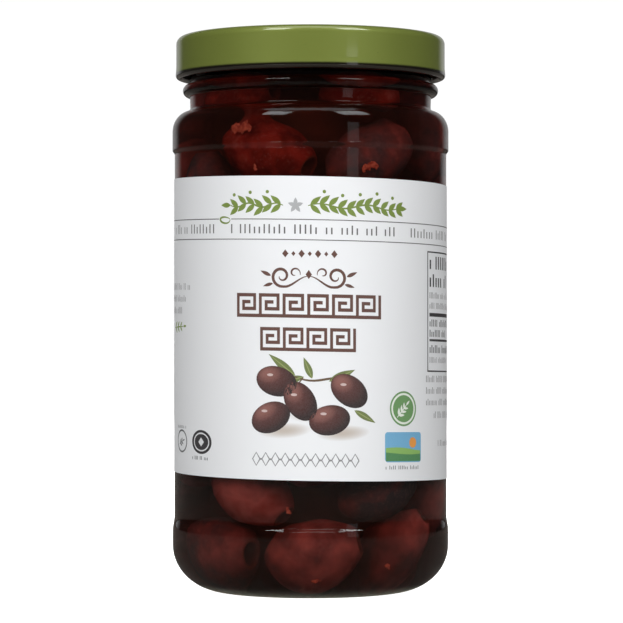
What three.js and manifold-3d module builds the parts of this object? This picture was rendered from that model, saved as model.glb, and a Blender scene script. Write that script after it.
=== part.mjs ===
// A round glass jar of pitted black olives, shut with a twist-off metal lid, with a paper label
// wrapped round its body. Millimetres, +Z up. The origin is the middle of the base, at the height
// of the surface that the jar stands on, and the front of the label faces -Y. Angles round the jar
// are counted from the front, towards +X.
//
// The jar, its lid and its label are surfaces of revolution, worked out from the sizes below. The
// olives are one heap: every olive is settled against its neighbours and the glass by a short
// relaxation, and those that can be seen are joined to a plain core.

import * as THREE from "three";
import { mergeVertices } from "three/addons/utils/BufferGeometryUtils.js";
import Module from "manifold-3d";

const DEGREE = Math.PI / 180;
const FULL_TURN = 2 * Math.PI;

// Steps round the jar, the lid and the label, which share one grid of angles
const STEPS_ROUND = 48;
const STEP_ANGLE = FULL_TURN / STEPS_ROUND;

// Steps along the rounded stretches of the profiles
const HEEL_STEPS = 6;
const SWELL_STEPS = 2;
const SHOULDER_STEPS = 4;
const BEAD_STEPS = 4;
const RIM_STEPS = 3;
const INNER_HEEL_STEPS = 4;
const CORNER_STEPS = 3;
const CURL_STEPS = 5;

// Jar, outside: a rounded heel, a lower and an upper roll, and a label panel sunk between them
const REST_RING_INNER = 19.6;
const REST_RING_OUTER = 21.3;
const PUNT_EDGE_RADIUS = 18.4;
const PUNT_EDGE_HEIGHT = 1.1;
const PUNT_HEIGHT = 3.4;
const LOWER_ROLL_RADIUS = 34.1;
const HEEL_HEIGHT = 11.5;
const LOWER_ROLL_TOP = 15;
const PANEL_RADIUS = 33.65;
const PANEL_BOTTOM = 19;
const PANEL_TOP = 107.8;
const UPPER_ROLL_RADIUS = 34.2;
const UPPER_ROLL_BOTTOM = 109;
const SHOULDER_BOTTOM = 113.5;
const SHOULDER_HEIGHT = 5.05;
const SHOULDER_TOP_RADIUS = 29.9;
const NECK_RADIUS = 29.8;
const NECK_BOTTOM = 119.3;
const BEAD_RADIUS = 1.55;
const BEAD_CENTRE_RADIUS = 30.1;
const BEAD_HEIGHT = 123.7;
const RIM_RADIUS = 1.25;
const RIM_HEIGHT = 136.25;

// Jar, inside
const PANEL_WALL = 2.2;
const ROLL_WALL = 2.25;
const NECK_WALL = 2.4;
const FLOOR_MIDDLE = 6.4;
const FLOOR_EDGE = 3.9;
const INNER_HEEL_HEIGHT = 14.5;
const INNER_HEEL_START = 21.5;
const INNER_SHOULDER_HEIGHT = 5.6;

const RIM_CENTRE_HEIGHT = RIM_HEIGHT - RIM_RADIUS;
const RIM_CENTRE_RADIUS = NECK_RADIUS - RIM_RADIUS;
const PANEL_INNER = PANEL_RADIUS - PANEL_WALL;
const LOWER_ROLL_INNER = LOWER_ROLL_RADIUS - ROLL_WALL;
const UPPER_ROLL_INNER = UPPER_ROLL_RADIUS - ROLL_WALL;
const NECK_INNER = NECK_RADIUS - NECK_WALL;

// Thread: four short right-handed ridges round the finish, which sink into the glass at their ends
const THREAD_COUNT = 4;
const THREAD_ANGLE = 74 * DEGREE;
const THREAD_BOTTOM = 130.1;
const THREAD_RISE = 1.4;
const THREAD_TUBE_RADIUS = 1.05;
const THREAD_PROUD = 1.1;
const THREAD_SINK = 1.35;
const THREAD_STEPS = 6;
const THREAD_SIDES = 4;

// Lid: a shell with a sunk panel, a button pulled down by the vacuum, a straight skirt and a curl
const LID_SHEET = 0.5;
const LID_TOP = 137.1;
const LID_PANEL_HEIGHT = 136.1;
const BUTTON_RADIUS = 13;
const BUTTON_DEPTH = 0.35;
const BUTTON_RING_RADIUS = 15.2;
const BUTTON_RING_HEIGHT = 0.35;
const BUTTON_RING_HALF_WIDTH = 1.1;
const PANEL_STEP_RADIUS = 25.2;
const LAND_RADIUS = 26.4;
const LID_CORNER_RADIUS = 1.95;
const SKIRT_RADIUS = 33.28;
const SKIRT_BOTTOM = 129;
const CURL_RADIUS = 0.95;
const CURL_CENTRE_RADIUS = 32.47;
const CURL_CENTRE_HEIGHT = 127.5;

// Lugs: the four places where the curl is pressed in under the thread
const LUG_COUNT = 4;
const LUG_START = 20 * DEGREE;
const LUG_HALF_ANGLE = 1.5 * STEP_ANGLE;
const LUG_INNER_RADIUS = 30.55;
const LUG_HEIGHT = 1.05;

// Label: paper that goes most of the way round, stuck on a little out of level
const LABEL_GAP_TO_GLASS = 0.03;
const LABEL_THICKNESS = 0.12;
const LABEL_BOTTOM = 28.8;
const LABEL_TOP = 100.9;
const LABEL_OPEN_STEPS = 2;
const LABEL_DROP_PER_RADIAN = 0.61;

// Olives
const OLIVE_HALF_LENGTH = 11.4;
const OLIVE_HALF_WIDTH = 7.4;
const OLIVE_POINTEDNESS = 0.62;
const OLIVE_SIDES = 7;
const OLIVE_RINGS = 4;
const PIT_HOLE_RADIUS = 2.4;
const PIT_HOLE_DEPTH = 4.5;
const CORE_RADIUS = 18.5;
const CORE_BOTTOM = 12;
const CORE_TOP = 119;
const OLIVE_CLEARANCE = 0.45;
const HEAP_TOP = 127.5;

// Settling of the olives: each one is three beads in a row
const HIDDEN_OLIVE_COUNT = 62;
const BEAD_OFFSET = 5.3;
const MIDDLE_BEAD = 7.4;
const END_BEAD = 6.1;
const SETTLING_STEPS = 260;
const LAST_STEPS = 12;
const SHOWN_MOBILITY = 0.03;
const GOLDEN_ANGLE = Math.PI * (3 - Math.sqrt(5));
const GOLDEN_SHARE = 0.6180339887;
const RANDOM_SEED = 4711;
const LEAST_SCALE = 0.9;
const SCALE_SPREAD = 0.16;

// The olives that lie against the glass where the label leaves it bare. Each has its angle round
// the jar, its height, the turn of its long axis from level, the lean of that axis away from the
// glass wall and towards the viewer, all angles in degrees, and its scale.
const SHOWN_OLIVES = [
  { angle: -17, height: 109, turn: -30, lean: 0, scale: 1.06 },
  { angle: 29, height: 107, turn: 8, lean: 0, scale: 1.04 },
  { angle: 0, height: 92.5, turn: 4, lean: 0, scale: 1 },
  { angle: 56, height: 93, turn: 10, lean: 0, scale: 0.98 },
  { angle: -58, height: 100, turn: 70, lean: 0, scale: 0.96 },
  { angle: -42, height: 121, turn: 8, lean: 0, scale: 0.9 },
  { angle: 34, height: 121, turn: 0, lean: 0, scale: 0.92 },
  { angle: 74, height: 111, turn: 70, lean: 0, scale: 0.92 },
  { angle: -33, height: 26, turn: -36, lean: 0, scale: 1.04 },
  { angle: 10, height: 33, turn: 16, lean: 0, scale: 0.98 },
  { angle: 38, height: 26, turn: 24, lean: 10, scale: 0.96 },
  { angle: 80, height: 24, turn: 80, lean: 20, scale: 0.94 },
  { angle: 4, height: 12.4, turn: 12, lean: 0, scale: 1 },
  { angle: -52, height: 12.2, turn: -6, lean: 0, scale: 0.98 },
  { angle: 52, height: 12.8, turn: 50, lean: 20, scale: 0.92 },
];

const wasm = await Module();
wasm.setup();

// Solids to geometries and back, for the joins and cuts

function toSolid(geometry) {
  const bare = geometry.index ? geometry.toNonIndexed() : geometry.clone();
  bare.deleteAttribute("normal");
  bare.deleteAttribute("uv");
  const merged = mergeVertices(bare, 1e-4);
  return new wasm.Manifold(
    new wasm.Mesh({
      numProp: 3,
      vertProperties: merged.attributes.position.array,
      triVerts: new Uint32Array(merged.index.array),
    }),
  );
}

function toGeometry(solid) {
  const mesh = solid.getMesh();
  const geometry = new THREE.BufferGeometry();
  geometry.setAttribute(
    "position",
    new THREE.BufferAttribute(mesh.vertProperties, 3),
  );
  geometry.setIndex(new THREE.BufferAttribute(mesh.triVerts, 1));
  geometry.computeVertexNormals();
  return geometry;
}

// Profiles, as points (radius, height)

function arc(centreRadius, centreHeight, halfWidth, halfHeight, fromDegrees, toDegrees, steps) {
  const points = [];
  for (let i = 0; i <= steps; i += 1) {
    const angle = (fromDegrees + ((toDegrees - fromDegrees) * i) / steps) * DEGREE;
    points.push(
      new THREE.Vector2(
        centreRadius + halfWidth * Math.cos(angle),
        centreHeight + halfHeight * Math.sin(angle),
      ),
    );
  }
  return points;
}

// A smooth step from one radius and height to another, upright at both ends
function swell(fromRadius, fromHeight, toRadius, toHeight, steps) {
  const points = [];
  for (let i = 0; i <= steps; i += 1) {
    const share = i / steps;
    const eased = (1 - Math.cos(Math.PI * share)) / 2;
    points.push(
      new THREE.Vector2(
        fromRadius + (toRadius - fromRadius) * eased,
        fromHeight + (toHeight - fromHeight) * share,
      ),
    );
  }
  return points;
}

// Revolves a profile about Z. The first step of the grid of angles is at the front.
function revolve(profile, steps) {
  return new THREE.LatheGeometry(profile, steps).rotateX(Math.PI / 2);
}

function jarOutside() {
  return [
    new THREE.Vector2(0, PUNT_HEIGHT),
    new THREE.Vector2(PUNT_EDGE_RADIUS * 0.55, PUNT_HEIGHT - 0.6),
    new THREE.Vector2(PUNT_EDGE_RADIUS, PUNT_EDGE_HEIGHT),
    new THREE.Vector2(REST_RING_INNER, 0),
    ...arc(
      REST_RING_OUTER,
      HEEL_HEIGHT,
      LOWER_ROLL_RADIUS - REST_RING_OUTER,
      HEEL_HEIGHT,
      -90,
      0,
      HEEL_STEPS,
    ),
    ...swell(LOWER_ROLL_RADIUS, LOWER_ROLL_TOP, PANEL_RADIUS, PANEL_BOTTOM, SWELL_STEPS),
    ...swell(PANEL_RADIUS, PANEL_TOP, UPPER_ROLL_RADIUS, UPPER_ROLL_BOTTOM, SWELL_STEPS),
    ...arc(
      SHOULDER_TOP_RADIUS,
      SHOULDER_BOTTOM,
      UPPER_ROLL_RADIUS - SHOULDER_TOP_RADIUS,
      SHOULDER_HEIGHT,
      0,
      80,
      SHOULDER_STEPS,
    ),
    new THREE.Vector2(NECK_RADIUS, NECK_BOTTOM),
    ...arc(BEAD_CENTRE_RADIUS, BEAD_HEIGHT, BEAD_RADIUS, BEAD_RADIUS, -100, 100, BEAD_STEPS),
    ...arc(RIM_CENTRE_RADIUS, RIM_CENTRE_HEIGHT, RIM_RADIUS, RIM_RADIUS, 0, 180, RIM_STEPS),
  ];
}

function jarInside() {
  return [
    new THREE.Vector2(NECK_INNER, RIM_CENTRE_HEIGHT - RIM_RADIUS),
    ...arc(
      NECK_INNER,
      SHOULDER_BOTTOM - 1,
      UPPER_ROLL_INNER - NECK_INNER,
      INNER_SHOULDER_HEIGHT,
      78,
      0,
      SHOULDER_STEPS,
    ),
    ...swell(UPPER_ROLL_INNER, UPPER_ROLL_BOTTOM, PANEL_INNER, PANEL_TOP - 2, SWELL_STEPS),
    ...swell(PANEL_INNER, PANEL_BOTTOM + 1, LOWER_ROLL_INNER, INNER_HEEL_HEIGHT, SWELL_STEPS),
    ...arc(
      INNER_HEEL_START,
      INNER_HEEL_HEIGHT,
      LOWER_ROLL_INNER - INNER_HEEL_START,
      INNER_HEEL_HEIGHT - FLOOR_EDGE,
      -15,
      -90,
      INNER_HEEL_STEPS,
    ),
    new THREE.Vector2(INNER_HEEL_START * 0.5, (FLOOR_MIDDLE + FLOOR_EDGE) / 2 + 0.6),
    new THREE.Vector2(0, FLOOR_MIDDLE),
  ];
}

// One ridge's centre line: it sinks into the glass over the first and last fifth of its length
class ThreadLine extends THREE.Curve {
  constructor(startAngle) {
    super();
    this.startAngle = startAngle;
  }
  getPoint(share, target = new THREE.Vector3()) {
    const nearEnd = Math.min(share, 1 - share) * 5;
    const sink = nearEnd < 1 ? THREAD_SINK * (1 - Math.sin((nearEnd * Math.PI) / 2)) : 0;
    const radius = NECK_RADIUS + THREAD_PROUD - THREAD_TUBE_RADIUS - sink;
    const angle = this.startAngle + THREAD_ANGLE * share;
    return target.set(
      radius * Math.sin(angle),
      -radius * Math.cos(angle),
      THREAD_BOTTOM + THREAD_RISE * share,
    );
  }
}

function threadRidge(index) {
  const section = new THREE.Shape();
  section.absarc(0, 0, THREAD_TUBE_RADIUS, 0, FULL_TURN, false);
  return new THREE.ExtrudeGeometry(section, {
    steps: THREAD_STEPS,
    curveSegments: THREAD_SIDES,
    bevelEnabled: false,
    extrudePath: new ThreadLine((index * FULL_TURN) / THREAD_COUNT),
  });
}

function makeJar() {
  let glass = toSolid(revolve([...jarOutside(), ...jarInside()], STEPS_ROUND));
  for (let i = 0; i < THREAD_COUNT; i += 1) glass = glass.add(toSolid(threadRidge(i)));
  return new THREE.Mesh(
    toGeometry(glass),
    new THREE.MeshStandardMaterial({
      color: 0xd5dfd6,
      roughness: 0.03,
      metalness: 0,
      transparent: true,
      opacity: 0.3,
    }),
  );
}

// The lid's top surface, from its middle to the start of its corner, or the sheet's underside
function lidTop(drop) {
  return [
    new THREE.Vector2(0, LID_PANEL_HEIGHT - BUTTON_DEPTH - drop),
    new THREE.Vector2(BUTTON_RADIUS, LID_PANEL_HEIGHT - drop),
    new THREE.Vector2(BUTTON_RING_RADIUS, LID_PANEL_HEIGHT + BUTTON_RING_HEIGHT - drop),
    new THREE.Vector2(
      BUTTON_RING_RADIUS + BUTTON_RING_HALF_WIDTH,
      LID_PANEL_HEIGHT - drop,
    ),
    new THREE.Vector2(PANEL_STEP_RADIUS, LID_PANEL_HEIGHT - drop),
    new THREE.Vector2(LAND_RADIUS, LID_TOP - drop),
  ];
}

function makeLid() {
  const innerCorner = LID_CORNER_RADIUS - LID_SHEET;
  const cornerRadius = SKIRT_RADIUS - LID_CORNER_RADIUS;
  const cornerHeight = LID_TOP - LID_CORNER_RADIUS;
  const profile = [
    ...lidTop(LID_SHEET),
    ...arc(cornerRadius, cornerHeight, innerCorner, innerCorner, 90, 0, CORNER_STEPS - 1),
    new THREE.Vector2(SKIRT_RADIUS - LID_SHEET, SKIRT_BOTTOM),
    ...arc(CURL_CENTRE_RADIUS, CURL_CENTRE_HEIGHT, CURL_RADIUS, CURL_RADIUS, 100, 360, CURL_STEPS),
    new THREE.Vector2(SKIRT_RADIUS, SKIRT_BOTTOM),
    ...arc(
      cornerRadius,
      cornerHeight,
      LID_CORNER_RADIUS,
      LID_CORNER_RADIUS,
      0,
      90,
      CORNER_STEPS,
    ),
    ...lidTop(0).reverse(),
  ];
  let lid = toSolid(revolve(profile, STEPS_ROUND));
  for (let i = 0; i < LUG_COUNT; i += 1) lid = lid.add(toSolid(lug(i)));
  return new THREE.Mesh(
    toGeometry(lid),
    new THREE.MeshStandardMaterial({ color: 0x7a8644, roughness: 0.35, metalness: 0.1 }),
  );
}

function lug(index) {
  const middle = LUG_START + (index * FULL_TURN) / LUG_COUNT;
  const plan = new THREE.Shape();
  plan.absarc(0, 0, CURL_CENTRE_RADIUS, middle - LUG_HALF_ANGLE, middle + LUG_HALF_ANGLE, false);
  plan.absarc(
    0,
    0,
    LUG_INNER_RADIUS,
    middle + LUG_HALF_ANGLE * 0.7,
    middle - LUG_HALF_ANGLE * 0.7,
    true,
  );
  return new THREE.ExtrudeGeometry(plan, {
    depth: LUG_HEIGHT,
    curveSegments: 3,
    bevelEnabled: false,
  }).translate(0, 0, CURL_CENTRE_HEIGHT - LUG_HEIGHT / 2);
}

// The label: a ring open at the back, extruded upwards, whose ends are then at different heights
function makeLabel() {
  const innerRadius = PANEL_RADIUS + LABEL_GAP_TO_GLASS;
  const outerRadius = innerRadius + LABEL_THICKNESS;
  const back = Math.PI / 2;
  const halfGap = (LABEL_OPEN_STEPS * STEP_ANGLE) / 2;
  const plan = new THREE.Shape();
  plan.absarc(0, 0, outerRadius, back + halfGap, back + FULL_TURN - halfGap, false);
  plan.absarc(0, 0, innerRadius, back + FULL_TURN - halfGap, back + halfGap, true);
  const geometry = new THREE.ExtrudeGeometry(plan, {
    depth: LABEL_TOP - LABEL_BOTTOM,
    curveSegments: STEPS_ROUND - LABEL_OPEN_STEPS,
    bevelEnabled: false,
  });
  const position = geometry.attributes.position;
  for (let i = 0; i < position.count; i += 1) {
    const angle = Math.atan2(position.getX(i), -position.getY(i));
    position.setZ(i, position.getZ(i) + LABEL_BOTTOM - LABEL_DROP_PER_RADIAN * angle);
  }
  return new THREE.Mesh(
    geometry,
    new THREE.MeshStandardMaterial({ color: 0xe4e6e8, roughness: 0.6, metalness: 0 }),
  );
}

// The settling of the olives

function randomDraws(seed) {
  let state = seed;
  return () => {
    state = (state * 16807) % 2147483647;
    return state / 2147483647;
  };
}

// The furthest that a bead's centre may be from the jar's axis at a height
function reachAt(height, beadRadius) {
  const radius = beadRadius + OLIVE_CLEARANCE;
  if (height < INNER_HEEL_HEIGHT) {
    const halfHeight = INNER_HEEL_HEIGHT - FLOOR_EDGE - radius;
    const depth = Math.min(1, (INNER_HEEL_HEIGHT - height) / halfHeight);
    const halfWidth = LOWER_ROLL_INNER - INNER_HEEL_START - radius;
    return INNER_HEEL_START + halfWidth * Math.sqrt(1 - depth * depth);
  }
  const narrowing = (height + beadRadius * 0.6 - SHOULDER_BOTTOM + 1) / INNER_SHOULDER_HEIGHT;
  const share = Math.min(1, Math.max(0, narrowing));
  return PANEL_INNER + (NECK_INNER - PANEL_INNER) * share - radius;
}

function floorAt(distance, beadRadius) {
  const rise = Math.max(0, 1 - distance / INNER_HEEL_START);
  return FLOOR_EDGE + (FLOOR_MIDDLE - FLOOR_EDGE) * rise + beadRadius + OLIVE_CLEARANCE;
}

function placeShown(shown) {
  const angle = shown.angle * DEGREE;
  const turn = shown.turn * DEGREE;
  const lean = shown.lean * DEGREE;
  const outward = new THREE.Vector3(Math.sin(angle), -Math.cos(angle), 0);
  const along = new THREE.Vector3(Math.cos(angle), Math.sin(angle), 0);
  const axis = along.multiplyScalar(Math.cos(turn)).add(new THREE.Vector3(0, 0, Math.sin(turn)));
  axis.multiplyScalar(Math.cos(lean)).addScaledVector(outward, Math.sin(lean));
  const distance = reachAt(shown.height, MIDDLE_BEAD * shown.scale);
  const centre = outward.multiplyScalar(distance);
  centre.z = shown.height;
  return { centre, axis, scale: shown.scale, mobility: SHOWN_MOBILITY };
}

function placeHidden(index, draw) {
  const share = (index + 0.5) / HIDDEN_OLIVE_COUNT;
  const height = FLOOR_MIDDLE + MIDDLE_BEAD + share * (HEAP_TOP - FLOOR_MIDDLE - 2 * MIDDLE_BEAD);
  const scale = LEAST_SCALE + SCALE_SPREAD * draw();
  const spread = Math.sqrt((index * GOLDEN_SHARE) % 1);
  const distance = reachAt(height, MIDDLE_BEAD * scale) * spread;
  const angle = index * GOLDEN_ANGLE;
  const turn = FULL_TURN * draw();
  const rise = 1.6 * draw() - 0.8;
  const level = Math.sqrt(1 - rise * rise);
  return {
    centre: new THREE.Vector3(distance * Math.sin(angle), -distance * Math.cos(angle), height),
    axis: new THREE.Vector3(level * Math.cos(turn), level * Math.sin(turn), rise),
    scale,
    mobility: 1,
  };
}

function beadsOf(olive) {
  return [-1, 0, 1].map((side) => ({
    side,
    radius: (side === 0 ? MIDDLE_BEAD : END_BEAD) * olive.scale,
    place: olive.centre.clone().addScaledVector(olive.axis, side * BEAD_OFFSET * olive.scale),
  }));
}

// Moves an olive by a push on one of its beads, which also turns it
function push(olive, side, vector, share) {
  olive.centre.addScaledVector(vector, share);
  olive.axis.addScaledVector(vector, (side * share) / (BEAD_OFFSET * olive.scale));
  olive.axis.normalize();
}

function partPair(first, second) {
  const reach = 2 * (BEAD_OFFSET + END_BEAD) * 1.06;
  if (first.centre.distanceTo(second.centre) > reach) return;
  const firstShare = first.mobility / (first.mobility + second.mobility);
  for (const a of beadsOf(first))
    for (const b of beadsOf(second)) {
      const apart = a.place.clone().sub(b.place);
      const overlap = a.radius + b.radius - apart.length();
      if (overlap <= 0) continue;
      apart.normalize().multiplyScalar(overlap * 0.5);
      push(first, a.side, apart, firstShare);
      push(second, b.side, apart, firstShare - 1);
    }
}

function keepInside(olive) {
  for (const bead of beadsOf(olive)) {
    const distance = Math.hypot(bead.place.x, bead.place.y);
    const inward = Math.min(0, reachAt(bead.place.z, bead.radius) - distance);
    const up = Math.max(0, floorAt(distance, bead.radius) - bead.place.z);
    const down = Math.min(0, HEAP_TOP - bead.radius - bead.place.z);
    const away = Math.max(distance, 1e-6);
    const move = new THREE.Vector3(
      (bead.place.x / away) * inward,
      (bead.place.y / away) * inward,
      up + down,
    );
    push(olive, bead.side, move, 0.7);
  }
}

function settledOlives() {
  const draw = randomDraws(RANDOM_SEED);
  const olives = SHOWN_OLIVES.map(placeShown);
  for (let i = 0; i < HIDDEN_OLIVE_COUNT; i += 1) olives.push(placeHidden(i, draw));
  for (let step = 0; step < SETTLING_STEPS; step += 1) {
    olives.forEach((first, i) => {
      for (let j = i + 1; j < olives.length; j += 1) partPair(first, olives[j]);
    });
    olives.forEach(keepInside);
  }
  for (let step = 0; step < LAST_STEPS; step += 1) olives.forEach(keepInside);
  return olives;
}

// One olive: an almond shape about Z, blunt at the top, where the pit was pushed out
function oliveGeometry() {
  const profile = [new THREE.Vector2(0, -OLIVE_HALF_LENGTH)];
  const mouth = (PIT_HOLE_RADIUS / OLIVE_HALF_WIDTH) ** (0.5 / OLIVE_POINTEDNESS);
  for (let i = 1; i <= OLIVE_RINGS; i += 1) {
    const angle = -Math.PI / 2 + ((Math.PI - Math.asin(mouth)) * i) / OLIVE_RINGS;
    profile.push(
      new THREE.Vector2(
        OLIVE_HALF_WIDTH * Math.cos(angle) ** (2 * OLIVE_POINTEDNESS),
        OLIVE_HALF_LENGTH * Math.sin(angle),
      ),
    );
  }
  profile.push(new THREE.Vector2(0, OLIVE_HALF_LENGTH - PIT_HOLE_DEPTH));
  return revolve(profile, OLIVE_SIDES);
}

function coreSolid() {
  const rounding = 4;
  const profile = [
    new THREE.Vector2(0, CORE_BOTTOM),
    new THREE.Vector2(CORE_RADIUS - rounding, CORE_BOTTOM),
    new THREE.Vector2(CORE_RADIUS, CORE_BOTTOM + rounding),
    new THREE.Vector2(CORE_RADIUS, CORE_TOP - rounding),
    new THREE.Vector2(CORE_RADIUS - rounding, CORE_TOP),
    new THREE.Vector2(0, CORE_TOP),
  ];
  return toSolid(revolve(profile, 16));
}

// An olive shows if it is near the glass, or lies at the bottom or the top of the heap
function shows(olive) {
  const distance = Math.hypot(olive.centre.x, olive.centre.y);
  const { z } = olive.centre;
  return distance > CORE_RADIUS - 3 || z < CORE_BOTTOM + 4 || z > CORE_TOP - 5;
}

function makeOlives() {
  const up = new THREE.Vector3(0, 0, 1);
  let heap = coreSolid();
  const geometry = oliveGeometry();
  for (const olive of settledOlives().filter(shows)) {
    const place = new THREE.Matrix4().compose(
      olive.centre,
      new THREE.Quaternion().setFromUnitVectors(up, olive.axis),
      new THREE.Vector3(olive.scale, olive.scale, olive.scale),
    );
    heap = heap.add(toSolid(geometry.clone().applyMatrix4(place)));
  }
  return new THREE.Mesh(
    toGeometry(heap),
    new THREE.MeshStandardMaterial({ color: 0x4a1f22, roughness: 0.35, metalness: 0 }),
  );
}

const jarOfOlives = new THREE.Group();
const pieces = {
  glass_jar: makeJar(),
  lid: makeLid(),
  label: makeLabel(),
  olives: makeOlives(),
};
for (const [name, mesh] of Object.entries(pieces)) {
  mesh.name = name;
  jarOfOlives.add(mesh);
}

export default jarOfOlives;
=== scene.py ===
"""Jar of olives: a glass jar of pitted black olives in brine, with a metal lid and a paper label.

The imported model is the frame: +Z is up, the jar stands on the origin, and the front of the label
faces -Y. Sizes are in millimetres, and a finished piece becomes metres when it is placed in the
frame. Angles round the jar are counted from the front, towards +X.
"""

import math
from functools import cached_property

import bpy
from mathutils import Matrix, Vector


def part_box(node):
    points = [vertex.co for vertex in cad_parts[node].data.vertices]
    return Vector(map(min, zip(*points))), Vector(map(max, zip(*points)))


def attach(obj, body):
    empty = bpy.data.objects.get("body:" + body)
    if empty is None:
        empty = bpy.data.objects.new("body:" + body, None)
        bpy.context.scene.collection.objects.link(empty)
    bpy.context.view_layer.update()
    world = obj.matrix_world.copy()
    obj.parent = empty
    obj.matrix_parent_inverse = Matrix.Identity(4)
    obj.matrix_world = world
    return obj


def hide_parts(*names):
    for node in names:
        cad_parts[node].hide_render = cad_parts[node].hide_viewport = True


bl_info = {
    "name": "Jar of olives",
    "version": (1, 0, 0),
    "blender": (4, 5, 0),
    "location": "3D View > Sidebar > Olive Jar",
    "description": "Builds a labelled glass jar of olives round its packed frame",
    "category": "Add Mesh",
}

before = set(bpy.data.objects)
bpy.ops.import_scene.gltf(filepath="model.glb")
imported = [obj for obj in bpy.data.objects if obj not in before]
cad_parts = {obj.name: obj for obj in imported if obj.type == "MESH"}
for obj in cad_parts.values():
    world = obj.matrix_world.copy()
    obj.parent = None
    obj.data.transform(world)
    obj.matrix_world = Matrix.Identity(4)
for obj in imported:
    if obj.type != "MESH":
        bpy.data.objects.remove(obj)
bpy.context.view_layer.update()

MM = 0.001
DEGREE = math.pi / 180
FULL_TURN = 2 * math.pi

# Driving sizes, from the frame where it holds them
GLASS_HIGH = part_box("glass_jar")[1] / MM
LID_LOW, LID_HIGH = (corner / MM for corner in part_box("lid"))
LABEL_LOW, LABEL_HIGH = (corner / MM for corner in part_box("label"))
ROLL_RADIUS = GLASS_HIGH.x
LABEL_RADIUS = LABEL_HIGH.x
PANEL_RADIUS = LABEL_RADIUS - 0.15
LID_TOP = LID_HIGH.z
LABEL_SLOPE = 0.61
LABEL_GAP_ANGLE = 15 * DEGREE
LABEL_HALF_ANGLE = (FULL_TURN - LABEL_GAP_ANGLE) / 2
LABEL_BOTTOM = LABEL_LOW.z + LABEL_SLOPE * LABEL_HALF_ANGLE
LABEL_TOP = LABEL_HIGH.z - LABEL_SLOPE * LABEL_HALF_ANGLE
ROUND_STEPS = 192
# The place in the cloud textures from which dents are taken
CLOUDS_PLACE = Vector((999, 999, 999))


# Mesh helpers


def clear_selection():
    bpy.ops.object.select_all(action="DESELECT")


def select_only(*pieces):
    clear_selection()
    for piece in pieces:
        piece.select_set(True)
    bpy.context.view_layer.objects.active = pieces[0]


def set_mode(mode):
    bpy.ops.object.mode_set(mode=mode)


def add(primitive, **settings):
    """Adds a primitive with nothing else selected."""
    clear_selection()
    primitive(**settings)
    return bpy.context.object


def select_places(piece, wanted):
    """Selects, in edit mode, the vertices whose place the test accepts."""
    bpy.ops.mesh.select_all(action="DESELECT")
    set_mode("OBJECT")
    for vertex in piece.data.vertices:
        vertex.select = wanted(vertex.co)
    set_mode("EDIT")
    bpy.ops.mesh.select_mode(type="VERT")


def resize(x, y, z, centre=(0, 0, 0)):
    bpy.ops.transform.resize(value=(x, y, z), center_override=centre)


def extrude(x, y, z):
    bpy.ops.mesh.extrude_region_move(TRANSFORM_OT_translate={"value": (x, y, z)})


def modify(piece, name, kind, **settings):
    modifier = piece.modifiers.new(name, kind)
    for key, value in settings.items():
        setattr(modifier, key, value)


def dent_by_clouds(piece, name, size, strength, mid_level):
    texture = bpy.data.textures.new(name, "CLOUDS")
    texture.noise_scale = size
    modify(piece, name, "DISPLACE", texture=texture, strength=strength, mid_level=mid_level)


def apply_modifiers(piece):
    select_only(piece)
    for modifier in list(piece.modifiers):
        bpy.ops.object.modifier_apply(modifier=modifier.name)


def join(pieces):
    select_only(*pieces)
    if len(pieces) > 1:
        bpy.ops.object.join()
    return bpy.context.object


def copy_of(piece, matrix):
    """A copy with its own mesh, put in its place inside that mesh."""
    made = piece.copy()
    made.data = piece.data.copy()
    made.data.transform(matrix)
    bpy.context.scene.collection.objects.link(made)
    return made


def smooth(piece, angle):
    select_only(piece)
    bpy.ops.object.shade_smooth_by_angle(angle=angle * DEGREE)


def paint(piece, *finishes):
    piece.data.materials.clear()
    for finish in finishes:
        piece.data.materials.append(finish)


def place_in_frame(piece, name, *nodes, slot):
    """Brings the finished piece to metres and rides it on the jar's one body, for the nodes it replaces."""
    piece.name = piece.data.name = name
    piece.data.transform(Matrix.Scale(MM, 4))
    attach(piece, "root")
    if nodes:
        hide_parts(*nodes)


# Profiles, as points (radius, height)


def between(first, second, share):
    return first + (second - first) * share


def round_place(x, y, half_width, half_height, turn):
    """The place on an ellipse at a turn in radians."""
    return (x + half_width * math.cos(turn), y + half_height * math.sin(turn))


def arc(radius, height, half_width, half_height, start, end, steps):
    turns = [between(start, end, i / steps) * DEGREE for i in range(steps + 1)]
    return [round_place(radius, height, half_width, half_height, turn) for turn in turns]


def swell(start_radius, start_height, end_radius, end_height, steps):
    """A smooth step from one radius to another, upright at both ends."""
    eased = [(1 - math.cos(math.pi * i / steps)) / 2 for i in range(steps + 1)]
    return [
        (between(start_radius, end_radius, share), between(start_height, end_height, i / steps))
        for i, share in enumerate(eased)
    ]


def upright(radius, start_height, end_height, steps):
    """The places between the two ends of an upright line."""
    return [(radius, between(start_height, end_height, i / steps)) for i in range(1, steps)]


def crossing(line, place, axis, otherwise):
    """Where a line first reaches a place on one axis, as its place on the other axis."""
    for first, second in zip(line, line[1:]):
        if min(first[axis], second[axis]) <= place <= max(first[axis], second[axis]):
            share = (place - first[axis]) / (second[axis] - first[axis] or 1)
            return between(first[1 - axis], second[1 - axis], share)
    return otherwise


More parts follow.
